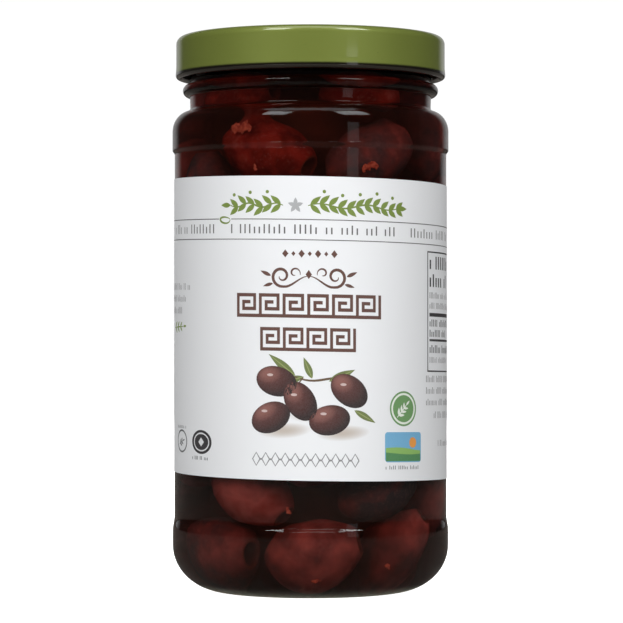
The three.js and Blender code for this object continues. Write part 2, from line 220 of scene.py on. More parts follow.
def spin_profile(profile, steps=ROUND_STEPS):
    """Extrudes one point along the profile, then spins it round the jar's axis."""
    piece = add(bpy.ops.mesh.primitive_plane_add, size=1)
    set_mode("EDIT")
    bpy.ops.mesh.merge(type="CENTER")
    here = Vector((profile[0][0], 0, profile[0][1]))
    bpy.ops.transform.translate(value=here)
    for radius, height in profile[1:]:
        there = Vector((radius, 0, height))
        extrude(*(there - here))
        here = there
    bpy.ops.mesh.select_all(action="SELECT")
    bpy.ops.mesh.spin(steps=steps, angle=FULL_TURN, center=(0, 0, 0), axis=(0, 0, 1))
    bpy.ops.mesh.select_all(action="SELECT")
    bpy.ops.mesh.remove_doubles(threshold=0.0005)
    bpy.ops.mesh.normals_make_consistent(inside=False)
    set_mode("OBJECT")
    return piece


# Shader maths


class Value:
    """A shader socket that takes part in Python arithmetic."""

    def __init__(self, finish, socket):
        self.finish = finish
        self.socket = socket

    def maths(self, operation, first, second):
        return self.finish.node("ShaderNodeMath", {"operation": operation}, {0: first, 1: second})

    def __add__(self, other):
        return self.maths("ADD", self, other)

    def __sub__(self, other):
        return self.maths("SUBTRACT", self, other)

    def __rsub__(self, other):
        return self.maths("SUBTRACT", other, self)

    def __mul__(self, other):
        return self.maths("MULTIPLY", self, other)

    __radd__ = __add__
    __rmul__ = __mul__


class Finish:
    """A material in the making, whose nodes all come from one method."""

    def __init__(self, name, owner=None):
        self.owner = owner or bpy.data.materials.new(name)
        self.owner.use_nodes = True
        self.tree = self.owner.node_tree
        self.tree.nodes.clear()

    def node(self, kind, settings=None, inputs=None, output=0):
        made = self.tree.nodes.new(kind)
        for name, value in (settings or {}).items():
            if name == "stops":
                self.set_stops(made.color_ramp, value)
            else:
                setattr(made, name, value)
        for name, value in (inputs or {}).items():
            socket = made.inputs[name]
            if isinstance(value, Value):
                self.tree.links.new(value.socket, socket)
            else:
                socket.default_value = value
        return Value(self, made.outputs[output] if made.outputs else None)

    @staticmethod
    def set_stops(ramp, stops):
        while len(ramp.elements) < len(stops):
            ramp.elements.new(0.5)
        for element, (place, tone) in zip(ramp.elements, stops):
            element.position = place
            element.color = tone

    @cached_property
    def place(self):
        return self.node("ShaderNodeTexCoord", output="Object")

    def part(self, vector, axis):
        return self.node("ShaderNodeSeparateXYZ", inputs={0: vector}, output=axis)

    def attribute(self, name, output):
        return self.node("ShaderNodeAttribute", {"attribute_name": name}, output=output)

    def noise(self, size, detail=2.0):
        """Noise from about 0 to 1, whose blobs are about size across."""
        inputs = {"Vector": self.place, "Scale": 1 / (size * MM), "Detail": detail}
        return self.node("ShaderNodeTexNoise", inputs=inputs)

    def ramp(self, value, *stops):
        return self.node("ShaderNodeValToRGB", {"stops": stops}, {0: value})

    def ease(self, value, low, high):
        """0 below low, 1 above high and smooth between them."""
        inputs = {"Value": value, "From Min": low, "From Max": high}
        return self.node("ShaderNodeMapRange", {"interpolation_type": "SMOOTHSTEP"}, inputs)

    def mix(self, share, first, second):
        return self.node("ShaderNodeMix", {"data_type": "RGBA"}, {0: share, 6: first, 7: second}, output=2)

    def relief(self, *layers):
        """A normal bumped by layers of height and depth, each over the one before."""
        under = {}
        for height, depth in layers:
            inputs = {"Height": height, "Distance": depth * MM, "Strength": 1.0, **under}
            under = {"Normal": self.node("ShaderNodeBump", inputs=inputs)}
        return under["Normal"]

    def principled(self, **inputs):
        named = {name.replace("_", " "): value for name, value in inputs.items()}
        return self.node("ShaderNodeBsdfPrincipled", inputs=named)

    def finish(self, surface, kind="ShaderNodeOutputMaterial", **others):
        self.node(kind, inputs={"Surface": surface, **others})
        return self.owner

    def finished(self, **inputs):
        return self.finish(self.principled(**inputs))


def colour(*screen):
    """A colour from its values on screen, from 0 to 255, as the linear one that shaders take."""
    shares = [value / 255 for value in screen]
    linear = [share / 12.92 if share <= 0.04045 else ((share + 0.055) / 1.055) ** 2.4 for share in shares]
    return (*linear, 1.0)


# Finishes


def let_lamps_through(finish, surface, tint):
    """Swaps the surface for a clear one on the way to the lamps, so that they light what is inside."""
    clear = finish.node("ShaderNodeBsdfTransparent", inputs={"Color": tint})
    to_lamp = finish.node("ShaderNodeLightPath", output="Is Shadow Ray")
    return finish.node("ShaderNodeMixShader", inputs={0: to_lamp, 1: surface, 2: clear})


def glass_finish():
    finish = Finish("clear_moulded_glass")
    surface = finish.principled(
        Base_Color=(0.9, 0.94, 0.91, 1.0),
        Roughness=0.0,
        IOR=1.5,
        Transmission_Weight=1.0,
        Normal=finish.relief((finish.noise(14, 1.0), 0.05), (finish.noise(3.5), 0.006)),
    )
    return finish.finish(let_lamps_through(finish, surface, (0.86, 0.9, 0.87, 1.0)))


def wetted_wall_finish():
    """The inner wall where brine wets it: light crosses it with hardly a glint."""
    finish = Finish("wetted_inner_wall")
    return finish.finish(finish.node("ShaderNodeBsdfTransparent"))


def brine_finish(settings):
    finish = Finish("olive_brine")
    tint = (0.93, 0.84, 0.8, 1.0)
    surface = finish.principled(Base_Color=tint, Roughness=0.0, IOR=1.001, Transmission_Weight=1.0)
    stain = {"Color": (*settings.brine_colour, 1.0), "Density": settings.brine_density}
    pulp = {"Color": (*settings.haze_colour, 1.0), "Density": settings.haze_density}
    depth = finish.node("ShaderNodeVolumeAbsorption", inputs=stain)
    haze = finish.node("ShaderNodeVolumeScatter", inputs=pulp)
    volume = finish.node("ShaderNodeAddShader", inputs={0: depth, 1: haze})
    return finish.finish(let_lamps_through(finish, surface, tint), Volume=volume)


def olive_finish():
    finish = Finish("wet_olive_skin")
    pores = finish.noise(0.8)
    tone = finish.attribute("ripeness", "Fac") * 0.7 + finish.noise(7, 3.0) * 0.95 - 0.32
    skin = finish.ramp(
        tone,
        (0.12, colour(52, 44, 48)),
        (0.36, colour(98, 46, 45)),
        (0.6, colour(150, 70, 66)),
        (0.82, colour(118, 30, 22)),
        (1.0, colour(80, 17, 12)),
    )
    skin = finish.mix(finish.ease(pores, 0.5, 0.75) * 0.08, skin, colour(160, 106, 98))
    cut = finish.ease(finish.attribute("cut_end", "Fac"), 0.35, 0.85) * 0.8
    return finish.finished(
        Base_Color=finish.mix(cut, skin, colour(92, 42, 32)),
        Roughness=0.5,
        Specular_IOR_Level=0.0,
        Normal=finish.relief((finish.noise(2.2, 3.0), 0.12), (pores, 0.03)),
    )


def flesh_finish(name, size, dark, light, roughness, depth=0.0):
    """Soaked flesh in two tones, with fibres as high as the depth, if any."""
    finish = Finish(name)
    fibres = finish.noise(size, 3.0)
    relief = {"Normal": finish.relief((fibres, depth))} if depth else {}
    tone = finish.ramp(fibres, (0.3, dark), (0.7, light))
    return finish.finished(Base_Color=tone, Roughness=roughness, Specular_IOR_Level=0.0, **relief)


def lid_finish(settings):
    finish = Finish("olive_green_lacquer")
    drift = finish.noise(16)
    pits = finish.node("ShaderNodeTexVoronoi", inputs={"Vector": finish.place, "Scale": 1 / (1.5 * MM)})
    speck = (1 - finish.ease(pits, 0.05, 0.12)) * finish.ease(finish.noise(5), 0.5, 0.6)
    lacquer = finish.mix(drift * 0.25, (*settings.lid_colour, 1.0), colour(113, 128, 55))
    lacquer = finish.mix(speck * 0.4, lacquer, colour(68, 78, 28))
    # Painted shade: the curl at the lid's foot is bare metal, given a dark tone that stands in for the shade
    # on its underside.
    edge = [(LID_LOW.z + rise) * MM for rise in (1.1, 1.7)]
    bare_shaded_curl = 1 - finish.ease(finish.part(finish.place, "Z"), *edge)
    metal = finish.mix(drift, colour(38, 33, 24), colour(58, 52, 38))
    return finish.finished(
        Base_Color=finish.mix(bare_shaded_curl, lacquer, metal),
        Roughness=0.4 + finish.noise(6) * 0.06,
        Metallic=0.4 + bare_shaded_curl * 0.4,
        Coat_Weight=1.0,
        Coat_Roughness=0.05,
        Coat_IOR=2.0,
        Normal=finish.relief((finish.noise(1.6), 0.012), (speck, 0.02)),
    )


def lid_inside_finish():
    finish = Finish("lid_inside_coating")
    tone = finish.mix(finish.noise(8), colour(196, 188, 166), colour(214, 208, 190))
    return finish.finished(Base_Color=tone, Roughness=0.4)


def paper_finish(settings):
    finish = Finish("coated_label_paper")
    fibres = finish.noise(0.35, 3.0)
    paper = (*settings.paper_colour, 1.0)
    return finish.finished(
        Base_Color=finish.mix(finish.noise(9) * 0.3, paper, (0.8, 0.815, 0.83, 1.0)),
        Roughness=0.5 + fibres * 0.08,
        Specular_IOR_Level=0.4,
        Normal=finish.relief((finish.noise(11, 1.0), 0.06), (fibres, 0.004)),
    )


def print_finish(name, tone, grain, lighter):
    finish = Finish(name)
    tone = tone or finish.attribute("ink", "Color")
    mixed = finish.mix(finish.noise(0.3) * grain, tone, lighter)
    return finish.finished(Base_Color=mixed, Roughness=0.48, Specular_IOR_Level=0.4)


def ink(name, *screen):
    """Printed ink: a flat tone with the paper's fibres showing through a little."""
    tone = colour(*screen)
    return print_finish(name, tone, 0.6, (*(between(channel, 0.75, 0.1) for channel in tone[:3]), 1.0))


def picture_ink():
    """Ink whose tone changes over the shape, from the shape's own colours."""
    return print_finish("picture_ink", None, 0.08, (0.75, 0.75, 0.75, 1.0))


# The settling of the olives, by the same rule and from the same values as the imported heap's: each
# olive is three beads in a row, which push each other and the glass away

OLIVE_HALF_LENGTH = 11.4
OLIVE_HALF_WIDTH = 7.4
OLIVE_POINTEDNESS = 0.62
OLIVE_KINDS = 4
HIDDEN_OLIVE_COUNT = 62
BEAD_OFFSET = 5.3
MIDDLE_BEAD = 7.4
END_BEAD = 6.1
SETTLING_STEPS = 260
LAST_STEPS = 12
SHOWN_MOBILITY = 0.03
GOLDEN_ANGLE = math.pi * (3 - math.sqrt(5))
GOLDEN_SHARE = 0.6180339887
RANDOM_SEED = 4711
LEAST_SCALE = 0.9
SCALE_SPREAD = 0.16
OLIVE_CLEARANCE = 0.45
BRINE_FILM = 0.15
HEAP_TOP = 127.5
CORE_RADIUS = 18.5
CORE_BOTTOM = 12
CORE_TOP = 119
FLOOR_MIDDLE = 6.4
FLOOR_EDGE = 3.9
INNER_HEEL_HEIGHT = 14.5
INNER_HEEL_START = 21.5
SHOULDER_BOTTOM = 113.5
INNER_SHOULDER_HEIGHT = 5.6
LOWER_ROLL_INNER = 31.85
UPPER_ROLL_INNER = 31.95
PANEL_INNER = 31.45
NECK_INNER = 27.4

# Angle round the jar, height, turn of the long axis from level, its lean outwards, scale, and
# ripeness: grey skin at 0, red at 1
SHOWN_OLIVES = (
    (-17, 109, -30, 0, 1.06, 1.05),
    (29, 107, 8, 0, 1.04, 0.16),
    (0, 92.5, 4, 0, 1, 0.6),
    (56, 93, 10, 0, 0.98, 0.75),
    (-58, 100, 70, 0, 0.96, 0.08),
    (-42, 121, 8, 0, 0.9, 1.15),
    (34, 121, 0, 0, 0.92, 1.1),
    (74, 111, 70, 0, 0.92, 0.3),
    (-33, 26, -36, 0, 1.04, 0.62),
    (10, 33, 16, 0, 0.98, 0.3),
    (38, 26, 24, 10, 0.96, 0.02),
    (80, 24, 80, 20, 0.94, 0.5),
    (4, 12.4, 12, 0, 1, 0.5),
    (-52, 12.2, -6, 0, 0.98, 0.25),
    (52, 12.8, 50, 20, 0.92, 0.4),
)


def random_draws(seed):
    state = seed
    while True:
        state = (state * 16807) % 2147483647
        yield state / 2147483647


class SettlingOlive:
    """An olive's middle and long axis while the heap settles."""

    def __init__(self, centre, axis, scale, mobility):
        self.centre = centre
        self.axis = axis
        self.scale = scale
        self.mobility = mobility

    def beads(self):
        return [
            (
                side,
                (END_BEAD if side else MIDDLE_BEAD) * self.scale,
                [c + a * side * BEAD_OFFSET * self.scale for c, a in zip(self.centre, self.axis)],
            )
            for side in (-1, 0, 1)
        ]

    def push(self, side, vector, share):
        lever = side * share / (BEAD_OFFSET * self.scale)
        self.centre = [c + v * share for c, v in zip(self.centre, vector)]
        axis = [a + v * lever for a, v in zip(self.axis, vector)]
        length = math.sqrt(sum(a * a for a in axis))
        self.axis = [a / length for a in axis]

    def shows(self):
        distance, height = math.hypot(*self.centre[:2]), self.centre[2]
        return distance > CORE_RADIUS - 3 or height < CORE_BOTTOM + 4 or height > CORE_TOP - 5


def reach_at(height, bead_radius):
    """The furthest that a bead's middle may be from the jar's axis."""
    radius = bead_radius + OLIVE_CLEARANCE
    if height < INNER_HEEL_HEIGHT:
        half_height = INNER_HEEL_HEIGHT - FLOOR_EDGE - radius
        depth = min(1, (INNER_HEEL_HEIGHT - height) / half_height)
        half_width = LOWER_ROLL_INNER - INNER_HEEL_START - radius
        return INNER_HEEL_START + half_width * math.sqrt(1 - depth * depth)
    narrowing = (height + bead_radius * 0.6 - SHOULDER_BOTTOM + 1) / INNER_SHOULDER_HEIGHT
    return between(PANEL_INNER, NECK_INNER, min(1, max(0, narrowing))) - radius


def floor_at(distance, bead_radius):
    rise = max(0, 1 - distance / INNER_HEEL_START)
    return between(FLOOR_EDGE, FLOOR_MIDDLE, rise) + bead_radius + OLIVE_CLEARANCE


def place_shown(angle, height, turn, lean, scale, _):
    angle, turn, lean = angle * DEGREE, turn * DEGREE, lean * DEGREE
    outward = (math.sin(angle), -math.cos(angle), 0)
    along = (math.cos(angle), math.sin(angle), 0)
    level = math.cos(turn) * math.cos(lean)
    axis = [level * a + math.sin(lean) * o for a, o in zip(along, outward)]
    axis[2] = math.sin(turn) * math.cos(lean)
    distance = reach_at(height, MIDDLE_BEAD * scale)
    return SettlingOlive([distance * outward[0], distance * outward[1], height], axis, scale, SHOWN_MOBILITY)


def place_hidden(index, draw):
    share = (index + 0.5) / HIDDEN_OLIVE_COUNT
    height = FLOOR_MIDDLE + MIDDLE_BEAD + share * (HEAP_TOP - FLOOR_MIDDLE - 2 * MIDDLE_BEAD)
    scale = LEAST_SCALE + SCALE_SPREAD * next(draw)
    distance = reach_at(height, MIDDLE_BEAD * scale) * math.sqrt((index * GOLDEN_SHARE) % 1)
    angle = index * GOLDEN_ANGLE
    turn = FULL_TURN * next(draw)
    rise = 1.6 * next(draw) - 0.8
    level = math.sqrt(1 - rise * rise)
    centre = [distance * math.sin(angle), -distance * math.cos(angle), height]
    return SettlingOlive(centre, [level * math.cos(turn), level * math.sin(turn), rise], scale, 1)


def part_pair(first, second):
    if math.dist(first.centre, second.centre) > 2 * (BEAD_OFFSET + END_BEAD) * 1.06:
        return
    share = first.mobility / (first.mobility + second.mobility)
    for side, radius, bead in first.beads():
        for other_side, other_radius, other_bead in second.beads():
            distance = math.dist(bead, other_bead)
            overlap = radius + other_radius - distance
            if overlap > 0:
                apart = [(a - b) / distance * overlap * 0.5 for a, b in zip(bead, other_bead)]
                first.push(side, apart, share)
                second.push(other_side, apart, share - 1)


def keep_inside(olive):
    for side, radius, bead in olive.beads():
        distance = math.hypot(bead[0], bead[1])
        inward = min(0, reach_at(bead[2], radius) - distance)
        up = max(0, floor_at(distance, radius) - bead[2])
        down = min(0, HEAP_TOP - radius - bead[2])
        away = max(distance, 1e-6)
        olive.push(side, [bead[0] / away * inward, bead[1] / away * inward, up + down], 0.7)


def settled_olives():
    draw = random_draws(RANDOM_SEED)
    olives = [place_shown(*shown) for shown in SHOWN_OLIVES]
    olives += [place_hidden(i, draw) for i in range(HIDDEN_OLIVE_COUNT)]
    for step in range(SETTLING_STEPS + LAST_STEPS):
        if step < SETTLING_STEPS:
            for i, first in enumerate(olives):
                for second in olives[i + 1 :]:
                    part_pair(first, second)
        for olive in olives:
            keep_inside(olive)
    return olives


# Add-on settings


def length_setting(name, description, millimetres):
    return bpy.props.FloatProperty(
        name=name, description=description, default=millimetres * MM, unit="LENGTH"
    )


def colour_setting(name, description, default):
    return bpy.props.FloatVectorProperty(
        name=name, description=description, subtype="COLOR", size=3, default=default
    )


def amount_setting(name, description, default, **limits):
    return bpy.props.FloatProperty(name=name, description=description, default=default, min=0.0, **limits)


class JarSettings(bpy.types.PropertyGroup):
    brine_colour: colour_setting("Brine Colour", "Colour that the brine lets through", (0.5, 0.19, 0.13))
    brine_density: amount_setting("Brine Density", "How fast the brine swallows light with depth", 100.0)
    haze_colour: colour_setting("Haze Colour", "Colour of the pulp in the brine", (1.0, 0.34, 0.2))
    haze_density: amount_setting("Haze", "How thickly fine pulp clouds the brine", 5.0)


class OliveSettings(bpy.types.PropertyGroup):
    pit_hole: length_setting("Pit Hole", "Radius of the hole that the pit left", 2.3)
    dent: length_setting("Dents", "How deep the olives are pressed in", 1.1)
    ripeness: amount_setting(
        "Ripeness Spread", "How much the olives differ in colour", 1.0, max=1.0, subtype="FACTOR"
    )


class LidSettings(bpy.types.PropertyGroup):
    lid_colour: colour_setting("Lacquer", "Colour of the lid's outside", (0.24, 0.29, 0.058))


class LabelSettings(bpy.types.PropertyGroup):
    paper_colour: colour_setting("Paper", "Colour of the unprinted paper", (0.8, 0.815, 0.835))
    thickness: length_setting("Paper Thickness", "Thickness of the label", 0.1)


class StageSettings(bpy.types.PropertyGroup):
    surroundings: amount_setting("Surroundings", "Brightness of the room round the jar", 0.4)
    lamp_power: amount_setting(
        "Lamp Power", "Power that the soft lamps are set from", 13.9, subtype="POWER"
    )
    floor_colour: colour_setting("Floor", "Colour of the floor", (0.9, 0.9, 0.9))


# Jar and brine

REST_RING_INNER = 19.6
REST_RING_OUTER = 21.3
PUNT_EDGE = (18.4, 1.1)
PUNT_HEIGHT = 3.4
# Share of the way out to the punt's edge, and the drop there from its middle
PUNT_SLOPE = ((0.3, 0.15), (0.6, 0.7), (0.85, 1.55))
LOWER_ROLL_RADIUS = ROLL_RADIUS - 0.1
HEEL_HEIGHT = 11.5
LOWER_ROLL_TOP = 15
PANEL_BOTTOM = 19
PANEL_TOP = 107.8
UPPER_ROLL_BOTTOM = 109
EASED_RIM = 0.3
SHOULDER_HEIGHT = 5.05
SHOULDER_TOP_RADIUS = 29.9
NECK_RADIUS = 29.8
NECK_FILLET = 0.7
NECK_BOTTOM = 119.3
BEAD_RADIUS = 1.55
BEAD_CENTRE = (30.1, 123.7)
RIM_RADIUS = 1.25
RIM_CENTRE = (NECK_RADIUS - RIM_RADIUS, GLASS_HIGH.z - RIM_RADIUS)
RIM_INSIDE = (NECK_INNER, 133)
BRINE_TOP = 131
BRINE_INTO_WALL = 0.12


def jar_outside():
    """The outer wall from the middle of the pushed-up base to the inside of the rim."""
    heel = LOWER_ROLL_RADIUS - REST_RING_OUTER
    shoulder = ROLL_RADIUS - SHOULDER_TOP_RADIUS
    return [
        (0, PUNT_HEIGHT),
        *[(PUNT_EDGE[0] * share, PUNT_HEIGHT - drop) for share, drop in PUNT_SLOPE],
        PUNT_EDGE,
        (REST_RING_INNER - 0.5, 0.25),
        (REST_RING_INNER, 0),
        *arc(REST_RING_OUTER, HEEL_HEIGHT, heel, HEEL_HEIGHT, -90, 0, 20),
        *upright(LOWER_ROLL_RADIUS, HEEL_HEIGHT, LOWER_ROLL_TOP, 4),
        *swell(LOWER_ROLL_RADIUS, LOWER_ROLL_TOP, PANEL_RADIUS, PANEL_BOTTOM, 10),
        (PANEL_RADIUS, PANEL_BOTTOM + EASED_RIM),
        *upright(PANEL_RADIUS, PANEL_BOTTOM, PANEL_TOP, 10),
        (PANEL_RADIUS, PANEL_TOP - EASED_RIM),
        *swell(PANEL_RADIUS, PANEL_TOP, ROLL_RADIUS, UPPER_ROLL_BOTTOM, 8),
        (ROLL_RADIUS, UPPER_ROLL_BOTTOM + EASED_RIM),
        *upright(ROLL_RADIUS, UPPER_ROLL_BOTTOM, SHOULDER_BOTTOM, 3),
        (ROLL_RADIUS, SHOULDER_BOTTOM - EASED_RIM),
        *arc(SHOULDER_TOP_RADIUS, SHOULDER_BOTTOM, shoulder, SHOULDER_HEIGHT, 0, 84, 12),
        *arc(NECK_RADIUS + NECK_FILLET, NECK_BOTTOM + 0.1, NECK_FILLET, NECK_FILLET, -120, -180, 3),
        *arc(*BEAD_CENTRE, BEAD_RADIUS, BEAD_RADIUS, -98, 98, 14),
        *upright(NECK_RADIUS, BEAD_CENTRE[1] + BEAD_RADIUS, RIM_CENTRE[1], 8),
        *arc(*RIM_CENTRE, RIM_RADIUS, RIM_RADIUS, 0, 180, 12),
    ]


def jar_inside(into_wall=0.0):
    """The inner wall from its top down to the middle of the floor, or a line a little inside the glass."""
    shoulder = UPPER_ROLL_INNER - NECK_INNER
    heel = LOWER_ROLL_INNER - INNER_HEEL_START
    heel_height = INNER_HEEL_HEIGHT - FLOOR_EDGE
    profile = [
        *upright(NECK_INNER, BRINE_TOP, SHOULDER_BOTTOM + 4.6, 6),
        *arc(NECK_INNER, SHOULDER_BOTTOM - 1, shoulder, INNER_SHOULDER_HEIGHT, 80, 0, 8),
        *swell(UPPER_ROLL_INNER, UPPER_ROLL_BOTTOM, PANEL_INNER, PANEL_TOP - 2, 6),
        *upright(PANEL_INNER, PANEL_TOP - 2, PANEL_BOTTOM + 1, 10),
        *swell(PANEL_INNER, PANEL_BOTTOM + 1, LOWER_ROLL_INNER, INNER_HEEL_HEIGHT, 6),
        *arc(INNER_HEEL_START, INNER_HEEL_HEIGHT, heel, heel_height, -6, -90, 14),
        (INNER_HEEL_START * 0.75, FLOOR_EDGE + 0.7),
        (INNER_HEEL_START * 0.45, FLOOR_EDGE + 1.7),
        (INNER_HEEL_START * 0.2, FLOOR_MIDDLE - 0.2),
        (0, FLOOR_MIDDLE),
    ]
    return [(r + into_wall if r else 0, z - into_wall * (z < 8)) for r, z in profile]


class OLIVEJAR_OT_jar(bpy.types.Operator):
    """Spin the glass jar, with its rolls, neck bead and pushed-up base"""

    bl_idname = "olivejar.jar"
    bl_label = "Glass Jar"

    def execute(self, context):
        jar = spin_profile([*jar_outside(), RIM_INSIDE, *jar_inside()])
        smooth(jar, 50)
        paint(jar, glass_finish(), wetted_wall_finish())
        for face in jar.data.polygons:
            face.material_index = int(self.is_wetted(face.center, face.normal))
        place_in_frame(jar, "jar_glass", "glass_jar", slot="glass_jar")
        return {"FINISHED"}

    @staticmethod
    def is_wetted(centre, normal):
        """Whether a face is on the inner wall or the floor, below the brine's top."""
        radius = math.hypot(centre.x, centre.y)
        outward = Vector((centre.x, centre.y, 0)).normalized()
        faces_in = normal.dot(outward) < -0.3 and centre.length > NECK_INNER - 0.4 and centre.z > 4
        is_floor = normal.z > 0.4 and centre.z < 20 and radius < 31
        in_undercut = radius > NECK_RADIUS - 0.5 and centre.z > SHOULDER_BOTTOM + 5
        return (faces_in or is_floor) and centre.z < BRINE_TOP - 1 and not in_undercut


class OLIVEJAR_OT_brine(bpy.types.Operator):
    """Fill the jar with brine, which reaches just into the glass"""

    bl_idname = "olivejar.brine"
    bl_label = "Brine"

    def execute(self, context):
        rim = (NECK_INNER + BRINE_INTO_WALL, BRINE_TOP)
        brine = spin_profile([(0, BRINE_TOP), rim, *jar_inside(BRINE_INTO_WALL)])
        smooth(brine, 50)
        paint(brine, brine_finish(context.scene.olivejar_jar))
        place_in_frame(brine, "brine", slot="glass_jar")
        return {"FINISHED"}


# Olives, the heap's core and torn flesh


def model_olive(pit_hole, dent, offset):
    """One pitted olive about Z, its hole at the top. The offset gives it its own dents."""
    olive = add(bpy.ops.mesh.primitive_uv_sphere_add, segments=20, ring_count=14, radius=1)
    set_mode("EDIT")
    heights = sorted({round(vertex.co.z, 4) for vertex in olive.data.vertices})
    for height in heights[1:-1]:
        slimming = math.sqrt(1 - height * height) ** (2 * OLIVE_POINTEDNESS - 1)
        select_places(olive, lambda co, height=height: abs(co.z - height) < 0.01)
        resize(slimming, slimming, 1)
    bpy.ops.mesh.select_all(action="SELECT")
    resize(OLIVE_HALF_WIDTH, OLIVE_HALF_WIDTH, OLIVE_HALF_LENGTH)
    rim = heights[-3] * OLIVE_HALF_LENGTH - 0.2
    select_places(olive, lambda co: co.z > rim)
    resize(1, 1, 0.35, (0, 0, rim))
    select_places(olive, lambda co: co.z > rim and math.hypot(co.x, co.y) < pit_hole * 1.5)
    extrude(0, 0, -0.9)
    resize(0.86, 0.86, 0.6, (0, 0, rim))
    extrude(0, 0, -4.2)
    bpy.ops.mesh.select_all(action="SELECT")
    bpy.ops.transform.translate(value=offset)
    bpy.ops.mesh.normals_make_consistent(inside=False)
    set_mode("OBJECT")
    modify(olive, "rounding", "SUBSURF", levels=1, render_levels=1)
    dent_by_clouds(olive, "dents", 9, dent, 0.6)
    dent_by_clouds(olive, "wrinkles", 2.6, dent * 0.22, 0.6)
    apply_modifiers(olive)
    olive.data.transform(Matrix.Translation(-offset))
    cut_end = olive.data.attributes.new("cut_end", "FLOAT", "POINT")
    for vertex in olive.data.vertices:
        in_hole = math.hypot(vertex.co.x, vertex.co.y) < pit_hole * 1.25
        cut_end.data[vertex.index].value = float(in_hole and vertex.co.z > max(0, rim - 5))
    olive.data.shade_smooth()
    return olive


def olive_matrix(olive, spin):
    turn = Vector((0, 0, 1)).rotation_difference(Vector(olive.axis)).to_matrix().to_4x4()
    size = Matrix.Scale(olive.scale, 4)
    return Matrix.Translation(Vector(olive.centre)) @ turn @ Matrix.Rotation(spin, 4, "Z") @ size


def press_on_glass(piece):
    """Flattens the olives where they lean on the glass, so that brine stays between the two."""
    wall = jar_inside()
    floor = [place for place in wall if place[1] <= INNER_HEEL_HEIGHT]
    for vertex in piece.data.vertices:
        x, y, z = vertex.co
        radius = math.hypot(x, y)
        z = max(z, crossing(floor, radius, 0, 0.0) + BRINE_FILM)
        shrink = min(1.0, (crossing(wall, z, 1, NECK_INNER) - BRINE_FILM) / radius) if radius else 1.0
        vertex.co = (x * shrink, y * shrink, z)


class OLIVEJAR_OT_olives(bpy.types.Operator):
    """Model the olives, settle the heap, then put a copy of one at each place in it that shows"""

    bl_idname = "olivejar.olives"
    bl_label = "Olives"

    def execute(self, context):
        settings = context.scene.olivejar_olives
        sizes = settings.pit_hole / MM, settings.dent / MM
        offsets = [CLOUDS_PLACE + Vector((31 * i, 17 * i, 0)) for i in range(OLIVE_KINDS)]
        kinds = [model_olive(*sizes, offset) for offset in offsets]
        draw = random_draws(RANDOM_SEED + 1)
        pieces = []
        for i, olive in enumerate(settled_olives()):
            drawn = next(draw)
            ripeness = SHOWN_OLIVES[i][-1] if i < len(SHOWN_OLIVES) else drawn
            ripeness = between(0.5, ripeness, settings.ripeness)
            if not olive.shows():
                continue
            piece = copy_of(kinds[i % OLIVE_KINDS], olive_matrix(olive, i * GOLDEN_ANGLE))
            tone = piece.data.attributes.new("ripeness", "FLOAT", "POINT")
            tone.data.foreach_set("value", [ripeness] * len(piece.data.vertices))
            pieces.append(piece)
        heap = join(pieces)
        press_on_glass(heap)
        for kind in kinds:
            bpy.data.objects.remove(kind)
        paint(heap, olive_finish())
        place_in_frame(heap, "olives_heap", "olives", slot="olives")
        return {"FINISHED"}


class OLIVEJAR_OT_core(bpy.types.Operator):
    """Fill the middle of the heap behind the olives that show"""

    bl_idname = "olivejar.core"
    bl_label = "Heap Core"

    def execute(self, context):
        radius, low, high, rounding = CORE_RADIUS - 1, CORE_BOTTOM + 1, CORE_TOP - 1, 4
        profile = [
            (0, low),
            *arc(radius - rounding, low + rounding, rounding, rounding, -90, 0, 4),
            *upright(radius, low + rounding, high - rounding, 24),
            *arc(radius - rounding, high - rounding, rounding, rounding, 0, 90, 4),
            (0, high),
        ]
        core = spin_profile(profile, 48)
        core.data.transform(Matrix.Translation(CLOUDS_PLACE))
        dent_by_clouds(core, "lumps", 10, 3, 0.8)
        apply_modifiers(core)
        core.data.transform(Matrix.Translation(-CLOUDS_PLACE))
        smooth(core, 60)
        paint(core, flesh_finish("heap_core", 9, colour(64, 38, 32), colour(104, 54, 42), 0.6))
        place_in_frame(core, "heap_core", "olives", slot="olives")
        return {"FINISHED"}


# Torn bits of skin and flesh, against the glass: angle round the jar, height, turn and length
SCRAPS = (
    (-31.5, 112.8, 20, 5.2),
    (26.7, 103.4, -25, 4.4),
    (-9.5, 21.6, 50, 1.8),
    (3.1, 6.2, 5, 2.4),
    (37, 8.4, 30, 1.8),
    (-24.5, 103.2, 60, 1.6),
)


